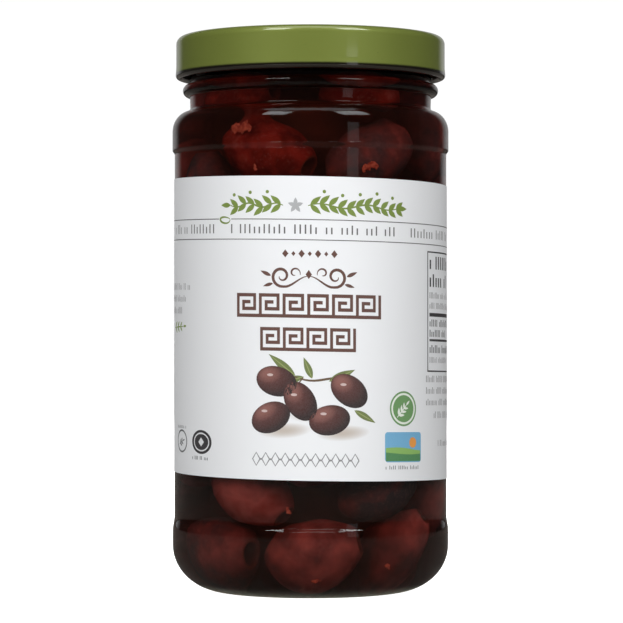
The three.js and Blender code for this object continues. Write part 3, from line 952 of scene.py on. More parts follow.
class OLIVEJAR_OT_scraps(bpy.types.Operator):
    """Lay torn bits of olive flesh among the olives"""

    bl_idname = "olivejar.scraps"
    bl_label = "Torn Flesh"

    def execute(self, context):
        scraps = join([self.scrap(i, *place) for i, place in enumerate(SCRAPS)])
        smooth(scraps, 60)
        tones = colour(116, 38, 32), colour(178, 84, 66)
        paint(scraps, flesh_finish("torn_olive_flesh", 0.9, *tones, 0.4, 0.1))
        place_in_frame(scraps, "olive_scraps", slot="olives")
        return {"FINISHED"}

    @staticmethod
    def scrap(index, angle, height, turn, length):
        """A ragged, curled strip that lies against the glass."""
        scrap = add(bpy.ops.mesh.primitive_grid_add, x_subdivisions=26, y_subdivisions=8, size=1)
        for vertex in scrap.data.vertices:
            x, y = vertex.co.x * 2, vertex.co.y * 2
            frayed = 1 + 0.3 * math.sin(8 * x + 3 * index) + 0.22 * math.sin(19 * x + 5 * index + 2 * y)
            width = 0.24 * math.sqrt(max(0, 1 - x * x * 0.94)) * frayed
            curl = 0.05 * math.cos(4 * x + index) + 0.5 * (y * width) ** 2
            sag = 0.12 * math.sin(2.4 * x + 2 * index)
            vertex.co = Vector((x * 0.5, curl, y * width + sag)) * length
        modify(scrap, "thickness", "SOLIDIFY", thickness=0.35, offset=0)
        modify(scrap, "rounding", "SUBSURF", levels=1, render_levels=1)
        apply_modifiers(scrap)
        reach = reach_at(height, 0.2) - 0.1 * length
        place = Matrix.Rotation(angle * DEGREE, 4, "Z") @ Matrix.Translation((0, -reach, height))
        scrap.data.transform(place @ Matrix.Rotation(turn * DEGREE, 4, "Y"))
        return scrap


# Lid

LID_SHEET = 0.5
LID_PANEL_HEIGHT = LID_TOP - 1.0
BUTTON_RADIUS = 13
BUTTON_DEPTH = 0.35
# Shares of the button's radius and of its depth
BUTTON_DISH = ((0, 1), (0.4, 0.85), (0.8, 0.4))
# Radius, rise and half width of the ring round the button
BUTTON_RING = (15.2, 0.35, 1.1)
PANEL_STEP_RADIUS = 25.2
LAND_RADIUS = 26.4
LID_CORNER = 1.95
SKIRT_RADIUS = LID_HIGH.x - 0.14
SKIRT_BOTTOM = 129
CURL_RADIUS = 0.95
CURL_CENTRE = (32.47, 127.5)
LUG_COUNT = 4
LUG_START = 20 * DEGREE
LUG_SIZE = (9, 1.5, 0.9)
LUG_REACH = 31.35


def lid_top(drop):
    """From the middle of the button to the start of the rounded corner."""
    ring, rise, half = BUTTON_RING
    level = LID_PANEL_HEIGHT - drop
    return [
        *[(BUTTON_RADIUS * out, level - BUTTON_DEPTH * deep) for out, deep in BUTTON_DISH],
        *[(ring + half * (i / 4 - 1), level + rise * (1 - math.cos(math.pi * i / 4)) / 2) for i in range(9)],
        (PANEL_STEP_RADIUS - 0.3, level),
        *swell(PANEL_STEP_RADIUS, level, LAND_RADIUS, LID_TOP - drop, 6)[1:-1],
        (LAND_RADIUS + 0.25, LID_TOP - drop),
    ]


def lid_profile():
    corner = (SKIRT_RADIUS - LID_CORNER, LID_TOP - LID_CORNER)
    inner = LID_CORNER - LID_SHEET
    return [
        *lid_top(LID_SHEET),
        *arc(*corner, inner, inner, 90, 0, 6),
        (SKIRT_RADIUS - LID_SHEET, SKIRT_BOTTOM),
        *arc(*CURL_CENTRE, CURL_RADIUS, CURL_RADIUS, 100, 360, 18),
        (SKIRT_RADIUS + 0.06, SKIRT_BOTTOM - 0.4),
        (SKIRT_RADIUS, SKIRT_BOTTOM + 0.4),
        *arc(*corner, LID_CORNER, LID_CORNER, 0, 90, 10),
        *lid_top(0)[::-1],
    ]


class OLIVEJAR_OT_lid(bpy.types.Operator):
    """Spin the twist-off lid and press its lugs in"""

    bl_idname = "olivejar.lid"
    bl_label = "Metal Lid"

    def execute(self, context):
        lid = spin_profile(lid_profile())
        paint(lid, lid_finish(context.scene.olivejar_lid), lid_inside_finish())
        for face in lid.data.polygons:
            face.material_index = int(self.is_inside(face.center, face.normal))
        whole = join([lid, *(self.lug(i) for i in range(LUG_COUNT))])
        smooth(whole, 50)
        place_in_frame(whole, "lid_metal", "lid", slot="lid")
        return {"FINISHED"}

    @staticmethod
    def is_inside(centre, normal):
        """Whether a face is under the panel or on the inside of the skirt."""
        outward = Vector((centre.x, centre.y, 0)).normalized()
        under_panel = centre.z > SKIRT_BOTTOM and normal.z < -0.3
        in_skirt = centre.z > SKIRT_BOTTOM - 1 and normal.dot(outward) < -0.3
        below_button = centre.z < LID_PANEL_HEIGHT - LID_SHEET - BUTTON_DEPTH - 0.05
        return centre.z < LID_TOP - 0.4 and (under_panel or in_skirt and below_button)

    @staticmethod
    def lug(index):
        lug = add(bpy.ops.mesh.primitive_cube_add, size=1)
        set_mode("EDIT")
        resize(*LUG_SIZE)
        select_places(lug, lambda co: co.y > 0)
        resize(0.62, 1, 0.75)
        set_mode("OBJECT")
        modify(lug, "edges", "BEVEL", width=0.3, segments=3)
        apply_modifiers(lug)
        inwards = Matrix.Translation((0, -LUG_REACH, CURL_CENTRE[1] - 0.05))
        lug.data.transform(Matrix.Rotation(LUG_START + index * FULL_TURN / LUG_COUNT, 4, "Z") @ inwards)
        return lug


# Label: paper and print are made flat, x along the paper from its middle and y up from the base,
# and then wrapped round the jar with the slope that the label was stuck on with

INK_LIFT = 0.012


def wrap(piece, radius):
    """Cuts a flat piece into upright strips a millimetre wide and lays them round the jar."""
    select_only(piece)
    set_mode("EDIT")
    places = [vertex.co.x for vertex in piece.data.vertices]
    for step in range(math.ceil(min(places)), math.floor(max(places)) + 1):
        bpy.ops.mesh.select_all(action="SELECT")
        bpy.ops.mesh.bisect(plane_co=(step, 0, 0), plane_no=(1, 0, 0), threshold=0.001)
    set_mode("OBJECT")
    for vertex in piece.data.vertices:
        along, up, lift = vertex.co
        angle = along / LABEL_RADIUS
        reach = radius + lift
        vertex.co = (reach * math.sin(angle), -reach * math.cos(angle), up - LABEL_SLOPE * angle)
    piece.data.update()


class OLIVEJAR_OT_label(bpy.types.Operator):
    """Cut the paper label, wrap it round the jar and give it its thickness"""

    bl_idname = "olivejar.label"
    bl_label = "Label Paper"

    def execute(self, context):
        settings = context.scene.olivejar_label
        label = add(bpy.ops.mesh.primitive_grid_add, x_subdivisions=2, y_subdivisions=24, size=1)
        size = Matrix.Diagonal((2 * LABEL_HALF_ANGLE * LABEL_RADIUS, LABEL_TOP - LABEL_BOTTOM, 1, 1))
        label.data.transform(Matrix.Translation((0, (LABEL_TOP + LABEL_BOTTOM) / 2, 0)) @ size)
        wrap(label, LABEL_RADIUS - 2 * INK_LIFT)
        modify(label, "thickness", "SOLIDIFY", thickness=settings.thickness / MM, offset=-1)
        apply_modifiers(label)
        smooth(label, 30)
        paint(label, paper_finish(settings))
        place_in_frame(label, "label_paper", "label", slot="label")
        return {"FINISHED"}


# Flat shapes for the print


def flat_shape(points):
    """A filled outline: a disc whose rim is drawn out to the points."""
    shape = add(bpy.ops.mesh.primitive_circle_add, vertices=len(points), radius=1, fill_type="NGON")
    for vertex, (x, y) in zip(shape.data.vertices, points):
        vertex.co = (x, y, 0)
    return shape


def flat_strip(path, widths):
    """A brush stroke: a long grid whose two edges follow the path."""
    strip = add(bpy.ops.mesh.primitive_grid_add, x_subdivisions=len(path) - 1, y_subdivisions=1, size=1)
    edges = sorted(strip.data.vertices, key=lambda vertex: tuple(vertex.co[:2]))
    for i, (x, y) in enumerate(path):
        before, after = path[max(i - 1, 0)], path[min(i + 1, len(path) - 1)]
        along = Vector((after[0] - before[0], after[1] - before[1])).normalized() * widths[i] / 2
        edges[2 * i].co = (x + along.y, y - along.x, 0)
        edges[2 * i + 1].co = (x - along.y, y + along.x, 0)
    return strip


def cut_grid(columns, rows, kept, edges_across, edges_up, x, y):
    """Bars and hooks cut out of one grid: only the cells that are kept stay, between the given edges."""
    grid = add(bpy.ops.mesh.primitive_grid_add, x_subdivisions=columns, y_subdivisions=rows, size=1)
    set_mode("EDIT")
    bpy.ops.mesh.select_mode(type="FACE")
    bpy.ops.mesh.select_all(action="DESELECT")
    set_mode("OBJECT")
    for face in grid.data.polygons:
        column, row = ((place + 0.5) * count for place, count in zip(face.center, (columns, rows)))
        face.select = not kept(int(column), int(row))
    for vertex in grid.data.vertices:
        column, row = ((place + 0.5) * count for place, count in zip(vertex.co, (columns, rows)))
        vertex.co = (x + edges_across(round(column)), y + edges_up(round(row)), 0)
    set_mode("EDIT")
    bpy.ops.mesh.delete(type="FACE")
    bpy.ops.mesh.select_mode(type="VERT")
    set_mode("OBJECT")
    return grid


def bar(x, y, width, height):
    return cut_grid(1, 1, lambda column, row: True, lambda c: c * width, lambda r: r * height, x, y)


def round_path(x, y, half_width, half_height, sides, count):
    return [round_place(x, y, half_width, half_height, FULL_TURN * i / sides) for i in range(count)]


def disc(x, y, half_width, half_height, sides=40):
    return flat_shape(round_path(x, y, half_width, half_height, sides, sides))


def hoop(x, y, half_width, half_height, line, sides=48):
    return flat_strip(round_path(x, y, half_width, half_height, sides, sides + 1), [line] * (sides + 1))


def stroke(path, width, tips=0.35):
    """A stroke that thins towards both ends."""
    last = len(path) - 1
    return flat_strip(path, [width * between(tips, 1, math.sin(math.pi * i / last)) for i in range(last + 1)])


def ray(x, y, length, turn):
    """The place at a length from another, at an angle in degrees."""
    return (x + math.cos(turn * DEGREE) * length, y + math.sin(turn * DEGREE) * length)


def leaf(x, y, length, width, turn, steps=12):
    """A pointed leaf that starts at a place and runs off at an angle."""
    points = []
    for side in (1, -1):
        for i in range(steps):
            share = i / steps if side == 1 else 1 - i / steps
            across = side * width / 2 * math.sin(math.pi * share**0.8)
            points.append(ray(*ray(x, y, length * share, turn), across, turn + 90))
    return flat_shape(points[::-1])


def ticks(draw, x, y, width, height, line, pitch, longest=9):
    """A row of fine upright strokes in groups, with drawn heights and gaps."""
    count = int(width / pitch)
    kinds = []
    left_in_group = 2 + int(next(draw) * longest)
    for _ in range(count):
        left_in_group -= 1
        kinds.append(0 if left_in_group == 0 else 1 + (next(draw) < 0.6))
        if left_in_group == 0:
            left_in_group = 3 + int(next(draw) * longest)
    return cut_grid(
        2 * count,
        2,
        lambda column, row: column % 2 == 0 and row < kinds[column // 2],
        lambda column: column // 2 * pitch + column % 2 * line,
        lambda row: (0, height * 0.72, height)[row],
        x,
        y,
    )


# One repeat of a Greek key, from its top row down
GREEK_KEY = (
    "#######.",
    "#.....#.",
    "#.###.#.",
    "#.#...#.",
    "#.#####.",
    "#.......",
    "########",
)


def meander(x, y, width, height, repeats):
    """A running Greek key with an upright at its far end."""
    rows, period = len(GREEK_KEY), len(GREEK_KEY[0])
    columns = repeats * period + 1

    def kept(column, row):
        return column == columns - 1 or GREEK_KEY[rows - 1 - row][column % period] == "#"

    return cut_grid(columns, rows, kept, lambda c: c * width / columns, lambda r: r * height / rows, x, y)


def sprig(x, y, length, turn, pairs, size, stem=0.22):
    """A stem with pairs of leaves and one at its tip."""
    pieces = [stroke([ray(x, y, length * i / 8, turn) for i in range(9)], stem, 0.5)]
    for i in range(pairs):
        foot = ray(x, y, (i + 0.6) / (pairs + 0.6) * length, turn)
        long = size * (1 - 0.3 * i / pairs)
        pieces += [leaf(*foot, long, long * 0.36, turn + lean) for lean in (42, -42)]
    return [*pieces, leaf(*ray(x, y, length, turn), size * 0.8, size * 0.28, turn)]


def finish_print(name, finish, pieces, level=1):
    """Joins flat shapes of one ink, wraps them on the paper and gives the film its thickness."""
    printed = join(pieces)
    wrap(printed, LABEL_RADIUS - 2 * INK_LIFT + level * 0.3 * INK_LIFT)
    modify(printed, "film", "SOLIDIFY", thickness=0.25 * INK_LIFT, offset=0)
    apply_modifiers(printed)
    paint(printed, finish)
    smooth(printed, 30)
    place_in_frame(printed, name, slot="label")


def shaded_disc(x, y, half_width, half_height, turn, shade):
    """A flat disc, coloured as the upper half of a ball: shade takes the ball's normal."""
    ball = add(bpy.ops.mesh.primitive_uv_sphere_add, segments=32, ring_count=16, radius=1)
    set_mode("EDIT")
    select_places(ball, lambda co: co.z < -0.05)
    bpy.ops.mesh.delete(type="VERT")
    set_mode("OBJECT")
    tones = ball.data.color_attributes.new("ink", "FLOAT_COLOR", "POINT")
    turned = Matrix.Rotation(turn * DEGREE, 3, "Z")
    for point, vertex in zip(tones.data, ball.data.vertices):
        point.color = shade(turned @ vertex.co)
        flat = Vector((vertex.co.x * half_width, vertex.co.y * half_height, 0))
        vertex.co = Vector((x, y, 0)) + turned @ flat
    return ball


def tinted(shape, *screen):
    tones = shape.data.color_attributes.new("ink", "FLOAT_COLOR", "POINT")
    for point in tones.data:
        point.color = colour(*screen)
    return shape


def blend_tones(share, first, second):
    share = min(1, max(0, share))
    return tuple(between(a, b, share) for a, b in zip(first, second))


# The print, group by group, in millimetres along the paper and up from the base

PRINT_BLACK = (48, 46, 48)
PAPER_TONE = (0.8, 0.815, 0.833, 1.0)
PAPER_EDGE = LABEL_HALF_ANGLE * LABEL_RADIUS - 0.8
RULE_WIDTH = 0.22
UPPER_RULE = 90.6
LOWER_RULE = 85.8
BAND_BOTTOM = 87.2
# Start and width of each group of strokes in the band
BAND_GROUPS = ((-45.8, 22), (-20.1, 43.6), (26.8, 22), (53, 22), (-72, 22), (-98, 20), (79, 19))


def draws_for(step):
    return random_draws(RANDOM_SEED + 10 * step)


class OLIVEJAR_OT_header(bpy.types.Operator):
    """Print the leafy garland, the two rules and the band of strokes between them"""

    bl_idname = "olivejar.header"
    bl_label = "Garland and Band"

    def execute(self, context):
        left, right, middle, step = -22.5, 24.8, 93.9, 0.55
        centre = (left + right) / 2 - 4.7
        green = []
        for side, reach in ((-1, centre - left - 3), (1, right - centre - 3)):
            start, heading = centre + side * 3, 0 if side > 0 else 180
            steps = round((reach - 2.4) / step)
            wave = [0.5 * math.sin(i / steps * 4 * math.pi) for i in range(steps + 1)]
            path = [(start + side * step * i, middle + rise) for i, rise in enumerate(wave)]
            green.append(stroke(path, 0.42, 0.5))
            for i, (x, y) in enumerate(path[1:-1:4]):
                green += [leaf(x, y, 3.3 - 0.06 * i, 1.25, heading + side * lean) for lean in (40, -40)]
                if i % 2:
                    green.append(disc(x + side * 1.1, y + 2.9, 0.42, 0.42, 16))
            green.append(leaf(*path[-1], 2.8, 1.2, heading))
        tendril = [
            (left + 0.6 + 1.5 * math.cos(t * 0.4), middle - 3.4 - 1.1 * math.sin(t * 0.4) * (1 - t / 24))
            for t in range(16)
        ]
        green.append(stroke(tendril, 0.5, 0.3))
        finish_print("print_garland", ink("garland_green_ink", 112, 134, 52), green)

        flower = [leaf(centre, middle, 1.9, 0.95, 90 + petal * 72) for petal in range(5)]
        finish_print("print_blossom", ink("blossom_grey_ink", 168, 170, 172), flower)

        draw = draws_for(1)
        grey = [
            bar(-PAPER_EDGE, UPPER_RULE - RULE_WIDTH / 2, PAPER_EDGE - 23.8, RULE_WIDTH),
            bar(-20.1, UPPER_RULE - RULE_WIDTH / 2, PAPER_EDGE + 20.1, RULE_WIDTH),
            bar(-PAPER_EDGE, LOWER_RULE - RULE_WIDTH / 2, 2 * PAPER_EDGE, RULE_WIDTH),
        ]
        grey += [ticks(draw, x, BAND_BOTTOM, width, 2.2, 0.36, 1.25) for x, width in BAND_GROUPS]
        finish_print("print_band", ink("band_grey_ink", 92, 90, 90), grey)
        return {"FINISHED"}


class OLIVEJAR_OT_title(bpy.types.Operator):
    """Print the scrolls, the diamonds and the two rows of Greek key"""

    bl_idname = "olivejar.title"
    bl_label = "Scrolls and Greek Key"

    def execute(self, context):
        brown = []
        for i, half in enumerate((0.95, 0.6, 0.95, 0.6, 0.95, 0.6, 0.95)):
            brown.append(disc(-6.0 + i * 1.95, 82.5, half * 0.8, half, 4))
        brown += [*self.scroll(-0.4, 76.6, -1), *self.scroll(-0.4, 76.6, 1), disc(-0.4, 77.6, 0.75, 1.1, 4)]
        brown += [meander(-18.4, 67.3, 36, 5.7, 6), meander(-12.2, 59.4, 23.2, 5.6, 4)]
        finish_print("print_title", ink("title_brown_ink", 92, 60, 50), brown)

        places = [-13.2 + i * 2.4 for i in range(11)]
        chain = [hoop(x, 33.7, 0.95, 1.55, 0.3, 4) for x in places]
        chain += [disc(x - 1.2, 33.7, 0.24, 0.24, 12) for x in places[1:]]
        finish_print("print_diamond_line", ink("diamond_grey_ink", 132, 132, 134), chain)
        return {"FINISHED"}

    @staticmethod
    def scroll(x, y, side):
        """One half of the flourish: a wave that winds into a spiral, with two leaves and a curl."""
        wave = [(5.9 * i / 10, 0.6 - 1.3 * (1 - math.cos(math.pi * i / 10))) for i in range(10)]
        spiral = [ray(6.5, 0.5, 2.5 * (1 - 0.78 * i / 24), -100 + 19 * i) for i in range(25)]
        curl = [ray(3.3, 1.3, 1.35 * (1 - 0.6 * i / 15), 200 - 20 * i) for i in range(16)]
        heading = 0 if side > 0 else 180
        return [
            stroke([(x + side * a, y + b) for a, b in wave + spiral], 0.72, 0.2),
            stroke([(x + side * a, y + b) for a, b in curl], 0.45, 0.3),
            leaf(x + side * 9.1, y + 0.6, 2.9, 0.9, heading + side * 24),
            leaf(x + side * 8.6, y - 1.2, 2.6, 0.8, heading - side * 16),
        ]


# Middle and turn of each printed olive, and start, length, width and turn of each leaf
PICTURE_OLIVES = ((-9.6, 43.6, 24), (-2.4, 47.6, -58), (4.6, 43.2, 12), (9.4, 50.2, -34), (-8.2, 52.2, -12))
PICTURE_LEAVES = (
    (-3.6, 53.6, 8.2, 2.0, 142),
    (0.4, 53.0, 5.4, 1.7, 112),
    (4.4, 52.4, 7.0, 1.9, 24),
    (-1.6, 53.4, 6.6, 1.7, 196),
    (10.6, 45.6, 6.2, 1.6, -28),
)
BARK = (96, 74, 52)


class OLIVEJAR_OT_picture(bpy.types.Operator):
    """Print the branch with olives and their soft shadows"""

    bl_idname = "olivejar.picture"
    bl_label = "Olive Branch Picture"

    def execute(self, context):
        shadows = [shaded_disc(x + 3.4, y - 3.0, 6.6, 1.9, 4, self.shadow) for x, y, _ in PICTURE_OLIVES[:3]]
        leaves = [tinted(leaf(*place), 104, 118, 62) for place in PICTURE_LEAVES]
        branch = [(-4.4 + i * 1.05, 53.6 - 0.7 * math.sin(i * 0.42) - 0.1 * i) for i in range(15)]
        leaves.append(tinted(stroke(branch, 0.55, 0.4), *BARK))
        ribs = []
        for x, y, length, _, turn in PICTURE_LEAVES:
            rib = [ray(x, y, length * i / 7, turn) for i in range(7)]
            ribs.append(tinted(stroke(rib, 0.24, 0.4), 146, 156, 96))
        for x, y, turn in PICTURE_OLIVES[1:]:
            foot = (x - 3.2 * math.cos(turn * DEGREE), y + 3.2 * abs(math.sin(turn * DEGREE)))
            top = (x * 0.7, 53.2)
            path = [tuple(between(a, b, i / 5) for a, b in zip(foot, top)) for i in range(6)]
            if math.dist(foot, top) < 9:
                ribs.append(tinted(stroke(path, 0.34, 0.6), *BARK))
        olives = [shaded_disc(x, y, 5.0, 3.55, turn, self.skin) for x, y, turn in PICTURE_OLIVES]
        glints = [tinted(disc(x - 1.5, y + 1.5, 0.75, 0.32, 16), 196, 176, 172) for x, y, _ in PICTURE_OLIVES]
        groups = {"shadows": shadows, "leaves": leaves, "ribs": ribs, "olives": olives, "glints": glints}
        for level, (name, pieces) in enumerate(groups.items(), 1):
            finish_print(f"print_{name}", picture_ink(), pieces, level)
        return {"FINISHED"}

    @staticmethod
    def shadow(normal):
        return blend_tones(normal.z**2.2, PAPER_TONE, colour(188, 178, 168))

    @staticmethod
    def skin(normal):
        lit = normal.dot(Vector((-0.42, 0.5, 0.76)).normalized())
        dark, middle, light = colour(34, 16, 16), colour(74, 34, 30), colour(132, 84, 76)
        if lit < 0.72:
            return blend_tones(lit / 0.72, dark, middle)
        return blend_tones((lit - 0.72) / 0.28, middle, light)


class OLIVEJAR_OT_badges(bpy.types.Operator):
    """Print the round leaf badge, the landscape badge and the plain marks at the left"""

    bl_idname = "olivejar.badges"
    bl_label = "Badges"

    def execute(self, context):
        x, y = 24.4, 46.1
        finish_print("print_round_badge", ink("badge_green_ink", 104, 148, 92), [disc(x, y, 4.3, 4.2)])
        pale = [hoop(x, y, 3.6, 3.5, 0.5), *sprig(x - 2.1, y - 2.1, 4.2, 45, 3, 1.9, 0.34)]
        finish_print("print_round_badge_leaf", ink("badge_pale_ink", 226, 232, 222), pale, 2)

        left, low, width = 18.7, 33.3, 11.9
        sky = [self.rounded(left, low, width, 7.2, 0.8)]
        finish_print("print_square_badge", ink("badge_blue_ink", 112, 172, 208), sky)
        sun = [disc(left + 8.8, low + 4.7, 1.25, 1.25)]
        finish_print("print_badge_sun", ink("badge_orange_ink", 226, 150, 66), sun, 2)
        meadow = [self.hill(left, low, width, 3.3, 0.7)]
        finish_print("print_badge_hill", ink("badge_meadow_ink", 136, 180, 96), meadow, 3)
        field = [self.hill(left, low, width, 2.2, 2.4)]
        finish_print("print_badge_field", ink("badge_field_ink", 78, 134, 84), field, 4)

        draw = draws_for(3)
        marks = [
            ticks(draw, 18.9, 31.6, 11.4, 0.9, 0.2, 0.55),
            hoop(-40.1, 36.8, 3.1, 2.6, 0.42),
            *sprig(-41.8, 36.0, 2.6, 20, 2, 1.5, 0.25),
            ticks(draw, -43.2, 39.9, 6.2, 0.7, 0.2, 0.55),
            ticks(draw, -34.0, 32.7, 7.6, 0.9, 0.24, 0.55),
        ]
        finish_print("print_side_marks", ink("marks_grey_ink", 96, 98, 100), marks)
        x, y = -30.2, 37.0
        finish_print("print_dark_mark", ink("mark_dark_ink", *PRINT_BLACK), [disc(x, y, 3.9, 2.9)])
        inner = [hoop(x, y, 2.9, 2.1, 0.34), disc(x, y, 1.1, 1.1, 4)]
        finish_print("print_dark_mark_lines", ink("mark_pale_ink", 222, 224, 226), inner, 2)
        return {"FINISHED"}

    @staticmethod
    def rounded(x, y, width, height, corner):
        points = []
        for quarter, (a, b) in enumerate(((1, 1), (0, 1), (0, 0), (1, 0))):
            middle = (x + corner + a * (width - 2 * corner), y + corner + b * (height - 2 * corner))
            points += [ray(*middle, corner, quarter * 90 + i * 18) for i in range(6)]
        return flat_shape(points)

    @staticmethod
    def hill(x, y, width, height, phase):
        """A strip of rolling ground along the badge's foot."""
        path = [(x + 0.25 + (width - 0.5) * i / 20, y + height / 2 + 0.2) for i in range(21)]
        widths = [height * (0.78 + 0.26 * math.sin(i / 20 * 3.4 + phase)) for i in range(21)]
        ground = flat_strip(path, widths)
        for vertex in ground.data.vertices:
            if vertex.co.y < y + height / 2:
                vertex.co.y = y + 0.25
        return ground


TABLE_LEFT, TABLE_RIGHT, TABLE_LOW, TABLE_HIGH = 33.5, 70.5, 55.0, 84.2
TABLE_BORDER = 0.35
TABLE_INDENT = TABLE_LEFT + 1.1
# Rows of strokes: start, bottom, width, height, width of a stroke, pitch, and longest group
TABLE_ROWS = (
    (TABLE_INDENT, 79.9, 17, 3.1, 0.72, 1.6, 6),
    (TABLE_INDENT, 75.6, 13, 3.1, 0.72, 1.6, 6),
    (TABLE_INDENT, 66.0, 16, 1.7, 0.4, 0.95),
    (TABLE_INDENT, 63.5, 13, 1.7, 0.4, 0.95),
    (TABLE_INDENT, 59.6, 18, 1.9, 0.42, 0.95),
)
NOTE_ROWS = (
    (TABLE_INDENT, 72.8, 15, 1.5, 0.24, 0.72),
    (TABLE_INDENT, 70.3, 20, 1.5, 0.24, 0.72),
    (TABLE_INDENT, 57.2, 14, 1.4, 0.22, 0.7),
    (56, 66.0, 12, 1.5, 0.24, 0.72),
    (56, 63.5, 13, 1.5, 0.24, 0.72),
    (56, 59.6, 13, 1.5, 0.24, 0.72),
    (36.8, 43.8, 32, 1.6, 0.26, 0.76),
    (39.3, 37.0, 22, 1.5, 0.26, 0.76),
    *[(32.9, 52.5 - 2.8 * i, 37 - 5 * i, 1.6, 0.26, 0.76) for i in range(3)],
    *[(-66, 73.6 - 2.9 * i, 31.3 - 2.2 * i, 1.6, 0.24, 0.8) for i in range(3)],
    *[(-96, 76 - 2.9 * i, 26 - 1.5 * (i % 3), 1.6, 0.26, 0.85) for i in range(6)],
)


class OLIVEJAR_OT_side_print(bpy.types.Operator):
    """Print the bordered table, the rows of strokes, the side sprigs and the bars at the back"""

    bl_idname = "olivejar.side_print"
    bl_label = "Side and Back Print"

    def execute(self, context):
        draw = draws_for(4)
        width, height = TABLE_RIGHT - TABLE_LEFT, TABLE_HIGH - TABLE_LOW
        black = [bar(x, TABLE_LOW, TABLE_BORDER, height) for x in (TABLE_LEFT, TABLE_RIGHT - TABLE_BORDER)]
        black += [bar(TABLE_LEFT, y, width, TABLE_BORDER) for y in (TABLE_LOW, TABLE_HIGH - TABLE_BORDER)]
        black += [bar(TABLE_LEFT + 1, y, width - 2, thick) for y, thick in ((68.4, 0.9), (62.4, 0.55))]
        black += [ticks(draw, *row) for row in TABLE_ROWS]
        finish_print("print_table", ink("table_black_ink", *PRINT_BLACK), black)
        grey = [ticks(draw, *row) for row in NOTE_ROWS]
        finish_print("print_notes", ink("notes_grey_ink", 118, 116, 118), grey)

        sprigs = [*sprig(-47.2, 64.3, 8.2, 3, 3, 2.2, 0.3), *sprig(-58.2, 64.3, 8.2, 177, 3, 2.2, 0.3)]
        for i in range(5):
            sprigs += sprig(88 + i * 0.1, 60, 9, 90 + (i - 2) * 26, 3, 3.2, 0.4)
        finish_print("print_side_sprigs", ink("sprig_green_ink", 132, 152, 84), sprigs)

        bars = []
        at = 77.0
        for _ in range(26):
            thick = 0.25 + 0.25 * int(next(draw) * 3)
            bars.append(bar(at, 36, thick, 13))
            at += thick + 0.3 + 0.25 * int(next(draw) * 2)
        finish_print("print_bars", ink("bars_black_ink", *PRINT_BLACK), bars)
        return {"FINISHED"}


# Stage: floor, surroundings, lamps and camera, in metres

CAMERA_PLACE = (0.25 * MM, -727 * MM, 63.2 * MM)
CAMERA_RISE = 0.467 * DEGREE
CAMERA_LENS = 169.4
SENSOR_WIDTH = 36
LAMP_AIM = Vector((0, 0, 75 * MM))
WHITE = (1.0, 1.0, 1.0, 1.0)

# Name, azimuth and elevation, distance, width and height, and share of the lamps' power. The
# azimuth is counted from the camera towards +X. The fills light the jar and aren't mirrored in it.
LAMPS = (
    ("front_fill", -38, 22, 1.4, 1.0, 1.0, 1.06),
    ("front_fill", 38, 22, 1.4, 1.0, 1.0, 0.98),
    ("back_fill", 190, 30, 1.4, 1.0, 1.0, 1.0),
    ("overhead_box", 0, 80, 1.2, 1.0, 0.5, 0.12),
    ("right_box", 46, 52, 1.2, 0.42, 0.36, 0.125),
    ("left_box", -36, 52, 1.2, 0.36, 0.36, 0.11),
    ("right_card", 35, 6, 1.2, 0.2, 0.26, 0.005),
    ("low_strip", -29, 4, 0.335, 0.1, 0.0028, 0.00036),
    ("low_strip", 33, 4, 0.335, 0.122, 0.0028, 0.0005),
    ("low_strip", 2, 4, 0.335, 0.24, 0.0028, 0.00026),
)


def soft_lamp(name, azimuth, elevation, distance, width, height, power):
    """A soft box that looks at the jar."""
    azimuth, elevation = azimuth * DEGREE, elevation * DEGREE
    level = math.cos(elevation) * distance
    offset = Vector((level * math.sin(azimuth), -level * math.cos(azimuth), distance * math.sin(elevation)))
    bpy.ops.object.light_add(type="AREA", location=LAMP_AIM + offset)
    lamp = bpy.context.object
    lamp.name = name
    lamp.rotation_euler = (-offset).to_track_quat("-Z", "Y").to_euler()
    lamp.data.shape = "RECTANGLE"
    lamp.data.size = width
    lamp.data.size_y = height
    lamp.data.energy = power
    lamp.visible_glossy = lamp.visible_transmission = "fill" not in name
    lamp.visible_camera = "strip" not in name


def floor_finish(settings):
    """White where it is looked at, and dim in what the jar mirrors of it, except for a painted pool of light
    under the jar.
    """
    finish = Finish("pale_floor")
    seen = finish.node("ShaderNodeLightPath", output="Is Camera Ray")
    lit = finish.principled(
        Base_Color=(*settings.floor_colour, 1.0),
        Roughness=0.8,
        Specular_IOR_Level=0.0,
        Emission_Color=WHITE,
        Emission_Strength=1.0,
    )
    reach = finish.node("ShaderNodeVectorMath", {"operation": "LENGTH"}, {0: finish.place}, output="Value")
    # Painted pool of light: under the jar the mirrored floor takes a pale tone, and further out a dark one.
    away = finish.ease(reach, 23 * MM, 29 * MM)
    tone = finish.mix(away, (0.62, 0.62, 0.52, 1.0), (0.12, 0.11, 0.1, 1.0))
    dim = finish.node("ShaderNodeBsdfDiffuse", inputs={"Color": tone})
    return finish.finish(finish.node("ShaderNodeMixShader", inputs={0: seen, 1: dim, 2: lit}))


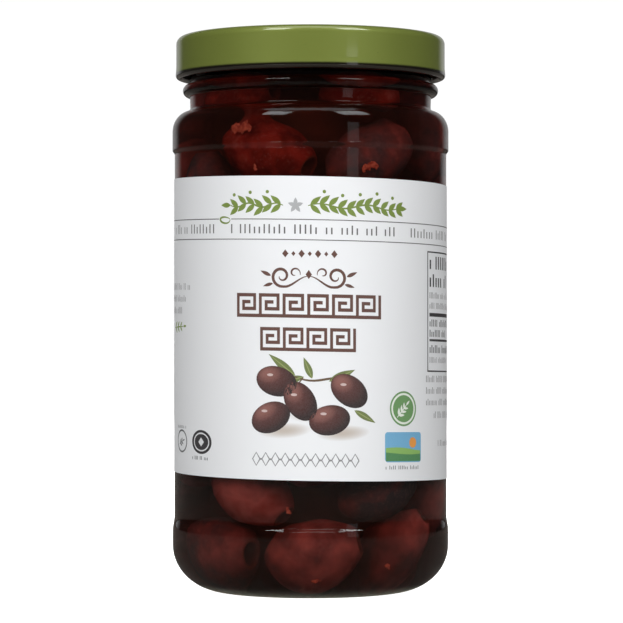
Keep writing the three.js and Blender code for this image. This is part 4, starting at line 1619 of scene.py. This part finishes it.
class OLIVEJAR_OT_stage(bpy.types.Operator):
    """Lay the floor and set the surroundings, the lamps and the camera"""

    bl_idname = "olivejar.stage"
    bl_label = "Stage"

    def execute(self, context):
        settings = context.scene.olivejar_stage
        floor = add(bpy.ops.mesh.primitive_plane_add, size=60)
        floor.name = "floor"
        paint(floor, floor_finish(settings))

        context.scene.world = bpy.data.worlds.new("studio")
        studio = Finish("studio", context.scene.world)
        seen = studio.node("ShaderNodeLightPath", output="Is Camera Ray")
        direction = studio.node("ShaderNodeTexCoord", output="Generated")
        behind = studio.ease(studio.part(direction, "Y"), 0.76, 0.92)
        dim = 0.02 + behind * settings.surroundings
        light = {"Color": WHITE, "Strength": seen * (1.02 - dim) + dim}
        studio.finish(studio.node("ShaderNodeBackground", inputs=light), "ShaderNodeOutputWorld")

        for *lamp, share in LAMPS:
            soft_lamp(*lamp, settings.lamp_power * share)
        bpy.ops.object.camera_add(location=CAMERA_PLACE, rotation=(math.pi / 2 + CAMERA_RISE, 0, 0))
        camera = bpy.context.object
        camera.data.lens = CAMERA_LENS
        camera.data.sensor_width = SENSOR_WIDTH
        camera.data.clip_start = 0.01
        context.scene.camera = camera
        context.scene.view_settings.view_transform = "Standard"
        return {"FINISHED"}


SETTINGS = {
    "olivejar_jar": JarSettings,
    "olivejar_olives": OliveSettings,
    "olivejar_lid": LidSettings,
    "olivejar_label": LabelSettings,
    "olivejar_stage": StageSettings,
}
OPERATORS = (
    OLIVEJAR_OT_jar,
    OLIVEJAR_OT_brine,
    OLIVEJAR_OT_olives,
    OLIVEJAR_OT_core,
    OLIVEJAR_OT_scraps,
    OLIVEJAR_OT_lid,
    OLIVEJAR_OT_label,
    OLIVEJAR_OT_header,
    OLIVEJAR_OT_title,
    OLIVEJAR_OT_picture,
    OLIVEJAR_OT_badges,
    OLIVEJAR_OT_side_print,
    OLIVEJAR_OT_stage,
)


class OLIVEJAR_PT_panel(bpy.types.Panel):
    """Sizes, colours and steps of the olive jar"""

    bl_idname = "OLIVEJAR_PT_panel"
    bl_label = "Jar of Olives"
    bl_space_type = "VIEW_3D"
    bl_region_type = "UI"
    bl_category = "Olive Jar"

    def draw(self, context):
        for name, group in SETTINGS.items():
            box = self.layout.box()
            for prop in group.__annotations__:
                box.prop(getattr(context.scene, name), prop)
        for operator in OPERATORS:
            self.layout.operator(operator.bl_idname)


CLASSES = (*SETTINGS.values(), *OPERATORS, OLIVEJAR_PT_panel)


def register():
    for made in CLASSES:
        bpy.utils.register_class(made)
    for name, group in SETTINGS.items():
        setattr(bpy.types.Scene, name, bpy.props.PointerProperty(type=group))


def unregister():
    for name in SETTINGS:
        delattr(bpy.types.Scene, name)
    for made in reversed(CLASSES):
        bpy.utils.unregister_class(made)


def main():
    register()
    for operator in OPERATORS:
        getattr(bpy.ops.olivejar, operator.bl_idname.split(".")[1])()


if __name__ == "__main__":
    main()
